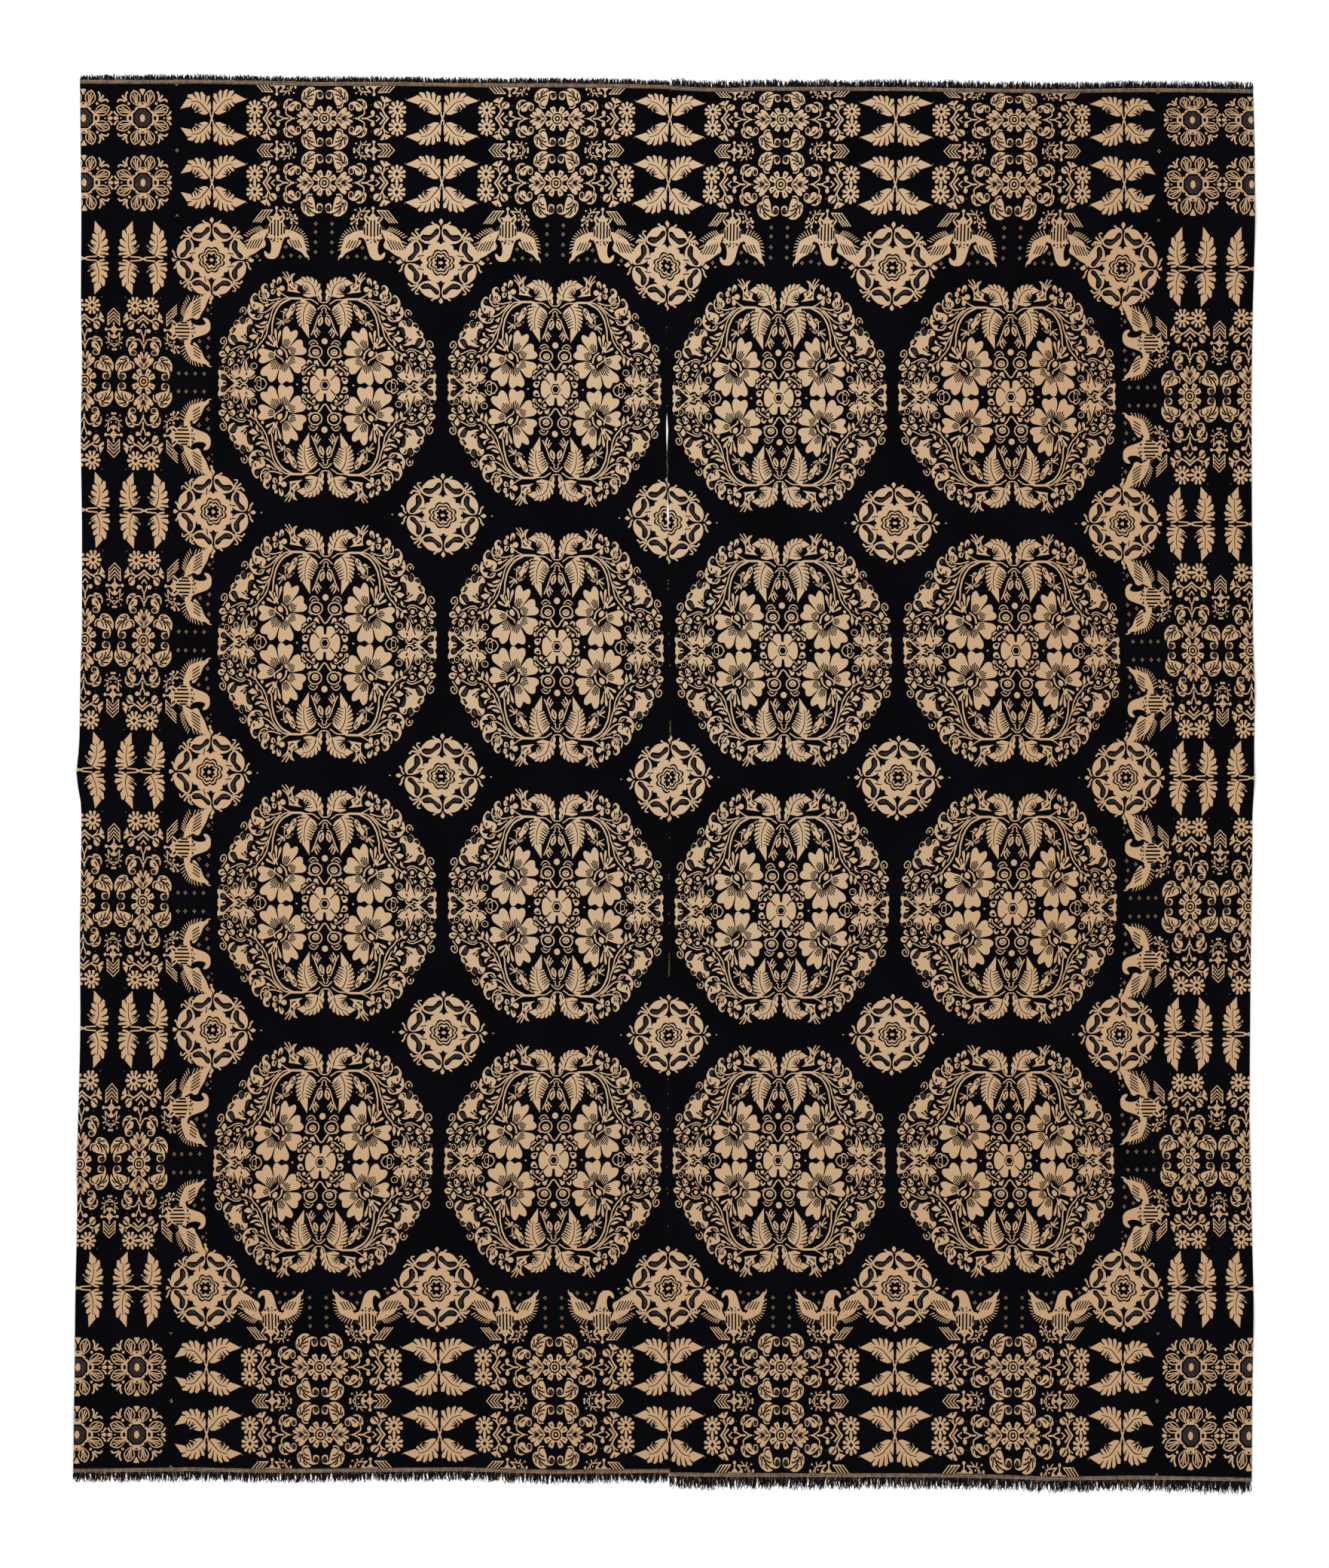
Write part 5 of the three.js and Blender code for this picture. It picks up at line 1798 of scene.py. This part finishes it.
class COVERLET_OT_fringes(bpy.types.Operator):
    """Weave the four striped headings and let out their fringes"""

    bl_idname = "coverlet.fringes"
    bl_label = "Make the headings and fringes"

    def execute(self, context):
        sizes, _ = settings()
        for row in FRINGES:
            width = Width(row["side"])
            mesh = Mesh()
            heading(mesh, width, row["end"], sizes.cloth_thickness)
            fringe(mesh, width, row, sizes.strands, sizes.cloth_thickness)
            made = mesh_object(f"warp_ends_{row['end']}_{row['side']}", mesh.points, mesh.faces,
                               warp_yarns(), mesh.marks)
            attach(made, "root")
            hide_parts(f"fringe_{row['end']}_{row['side']}")
        return {"FINISHED"}


# Where the sewing shows as pale stitches, along the seam in mm.
WORN_SEWING = ((548, 488), (-278, -322), (104, 80), (-905, -925), (1020, 1004))


def sew(mesh, left, right, low, high, sizes):
    """The sewing thread between the widths, left out where the seam has come open."""
    run, y = [], low
    while y <= high:
        a, b = read_line(left.seam, y), read_line(right.seam, y)
        if b - a < OPEN_SEAM:
            x = (a + b) / 2
            run.append((x, y, sizes.cloth_thickness * 0.55 + ridge_lift(x, y)))
        if (b - a >= OPEN_SEAM or y + sizes.stitch > high) and len(run) > 1:
            mesh.strand(run, 2.2, 2.2, 0)
            run = []
        y += sizes.stitch


def pale_stitches(mesh, left, right, low, high, sizes):
    """Stitches that show on top: many where the sewing is worn, and few elsewhere."""
    picker = random.Random(4)
    y = low + 3
    while y < high:
        a, b = read_line(left.seam, y), read_line(right.seam, y)
        x, worn = (a + b) / 2, any(end <= y <= start for start, end in WORN_SEWING)
        if b - a < OPEN_SEAM and (worn or picker.random() < 0.1):
            half = picker.uniform(0.7, 1.5) * (1.0 if worn else 0.6)
            rise = sizes.cloth_thickness + ridge_lift(x, y) + 0.15
            shift = picker.uniform(-0.8, 0.8)
            mesh.strand([(x - half + shift, y - 1.6, rise - 0.5), (x + shift, y, rise + 0.35),
                         (x + half + shift, y + 1.4, rise - 0.5)], 0.8, 0.6, 1)
        y += sizes.stitch * (0.42 if worn else 1.0) * picker.uniform(0.7, 1.3)


class COVERLET_OT_seam(bpy.types.Operator):
    """Sew the two widths together, apart from where the seam has come open"""

    bl_idname = "coverlet.seam"
    bl_label = "Sew the seam"

    def execute(self, context):
        sizes, _ = settings()
        left, right, mesh = Width("left"), Width("right"), Mesh()
        low = max(left.low_hem[-1][1], right.low_hem[0][1]) + 1
        high = min(left.high_hem[-1][1], right.high_hem[0][1]) - 1
        sew(mesh, left, right, low, high, sizes)
        pale_stitches(mesh, left, right, low, high, sizes)
        made = mesh_object("seam_sewing", mesh.points, mesh.faces, warp_yarns()[:2], mesh.marks)
        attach(made, "root")
        return {"FINISHED"}


FLOOR_HALF = 6000               # half the floor's width, in mm
PICTURE_HIGH = 2082 * 1.24      # what the camera sees of the floor from top to bottom, in mm
CAMERA_PLACE = (0.0006, 0, 8.0)     # in metres
SENSOR = 36                     # height of the camera's sensor, in mm
# The lamps: name, place in metres, power in watts and width in metres.
LAMPS = (("key", (-2.4, 2.2, 4.2), 150, 3.2), ("fill", (2.6, -1.4, 4.6), 70, 4.0))


def lay_floor(colours):
    """A wide pale floor, a little uneven in tone."""
    surface, tree, shader = material("floor paper", 0.95)
    grain = cloud(tree, (3, 3, 3), 2.0)
    toned = blend(tree, scale_of(tree, grain, 0.3), colours.floor, shaded(colours.floor, 0.97))
    tree.links.new(toned, shader.inputs["Base Color"])
    half = FLOOR_HALF
    return mesh_object("floor", [(-half, -half, 0), (half, -half, 0), (half, half, 0), (-half, half, 0)],
                       [(0, 1, 2, 3)], [surface])


def hang_lamps(scene):
    """Two wide soft lamps that shine on the middle of the coverlet, and a white sky."""
    lamps = []
    for name, place, power, size in LAMPS:
        light = bpy.data.lights.new(name, "AREA")
        light.energy = power
        light.size = size
        lamp = bpy.data.objects.new(name, light)
        lamp.location = place
        lamp.rotation_euler = (-Vector(place)).to_track_quat("-Z", "Y").to_euler()
        scene.collection.objects.link(lamp)
        lamps.append(lamp)
    world = scene.world or bpy.data.worlds.new("studio")
    scene.world = world
    world.use_nodes = True
    background = next(n for n in world.node_tree.nodes if n.type == "BACKGROUND")
    background.inputs["Color"].default_value = (1, 1, 1, 1)
    background.inputs["Strength"].default_value = 0.75
    return lamps


def set_camera(scene):
    """A camera straight above, which sees as much of the floor as the photo does."""
    view = bpy.data.cameras.new("camera")
    view.sensor_fit = "VERTICAL"
    view.sensor_height = SENSOR
    view.lens = SENSOR * CAMERA_PLACE[2] / (PICTURE_HIGH * MM)
    view.clip_end = 50
    camera = bpy.data.objects.new("camera", view)
    camera.location = CAMERA_PLACE
    scene.collection.objects.link(camera)
    scene.camera = camera
    scene.view_settings.view_transform = "Standard"


class COVERLET_OT_stage(bpy.types.Operator):
    """Lay the floor and set up the light and the camera above it"""

    bl_idname = "coverlet.stage"
    bl_label = "Set the stage"

    def execute(self, context):
        floor = lay_floor(settings()[1])
        lamps = hang_lamps(context.scene)
        set_camera(context.scene)
        return {"FINISHED"}


class COVERLET_PT_panel(bpy.types.Panel):
    """The coverlet's sizes, colours and steps"""

    bl_label = "Coverlet"
    bl_idname = "COVERLET_PT_panel"
    bl_space_type = "VIEW_3D"
    bl_region_type = "UI"
    bl_category = "Coverlet"

    def draw(self, context):
        for group in settings():
            box = self.layout.box()
            for name in group.bl_rna.properties.keys():
                if name not in ("rna_type", "name"):
                    box.prop(group, name)
        for step in STEPS_IN_ORDER:
            self.layout.operator(step.bl_idname)


STEPS_IN_ORDER = (COVERLET_OT_widths, COVERLET_OT_fringes, COVERLET_OT_seam, COVERLET_OT_stage)
CLASSES = (CoverletSizes, CoverletColours, *STEPS_IN_ORDER, COVERLET_PT_panel)


def register():
    for each in CLASSES:
        bpy.utils.register_class(each)
    bpy.types.Scene.coverlet_sizes = PointerProperty(type=CoverletSizes)
    bpy.types.Scene.coverlet_colours = PointerProperty(type=CoverletColours)


def unregister():
    del bpy.types.Scene.coverlet_colours
    del bpy.types.Scene.coverlet_sizes
    for each in reversed(CLASSES):
        bpy.utils.unregister_class(each)


def main():
    register()
    bpy.ops.coverlet.widths()
    bpy.ops.coverlet.fringes()
    bpy.ops.coverlet.seam()
    bpy.ops.coverlet.stage()


if __name__ == "__main__":
    main()
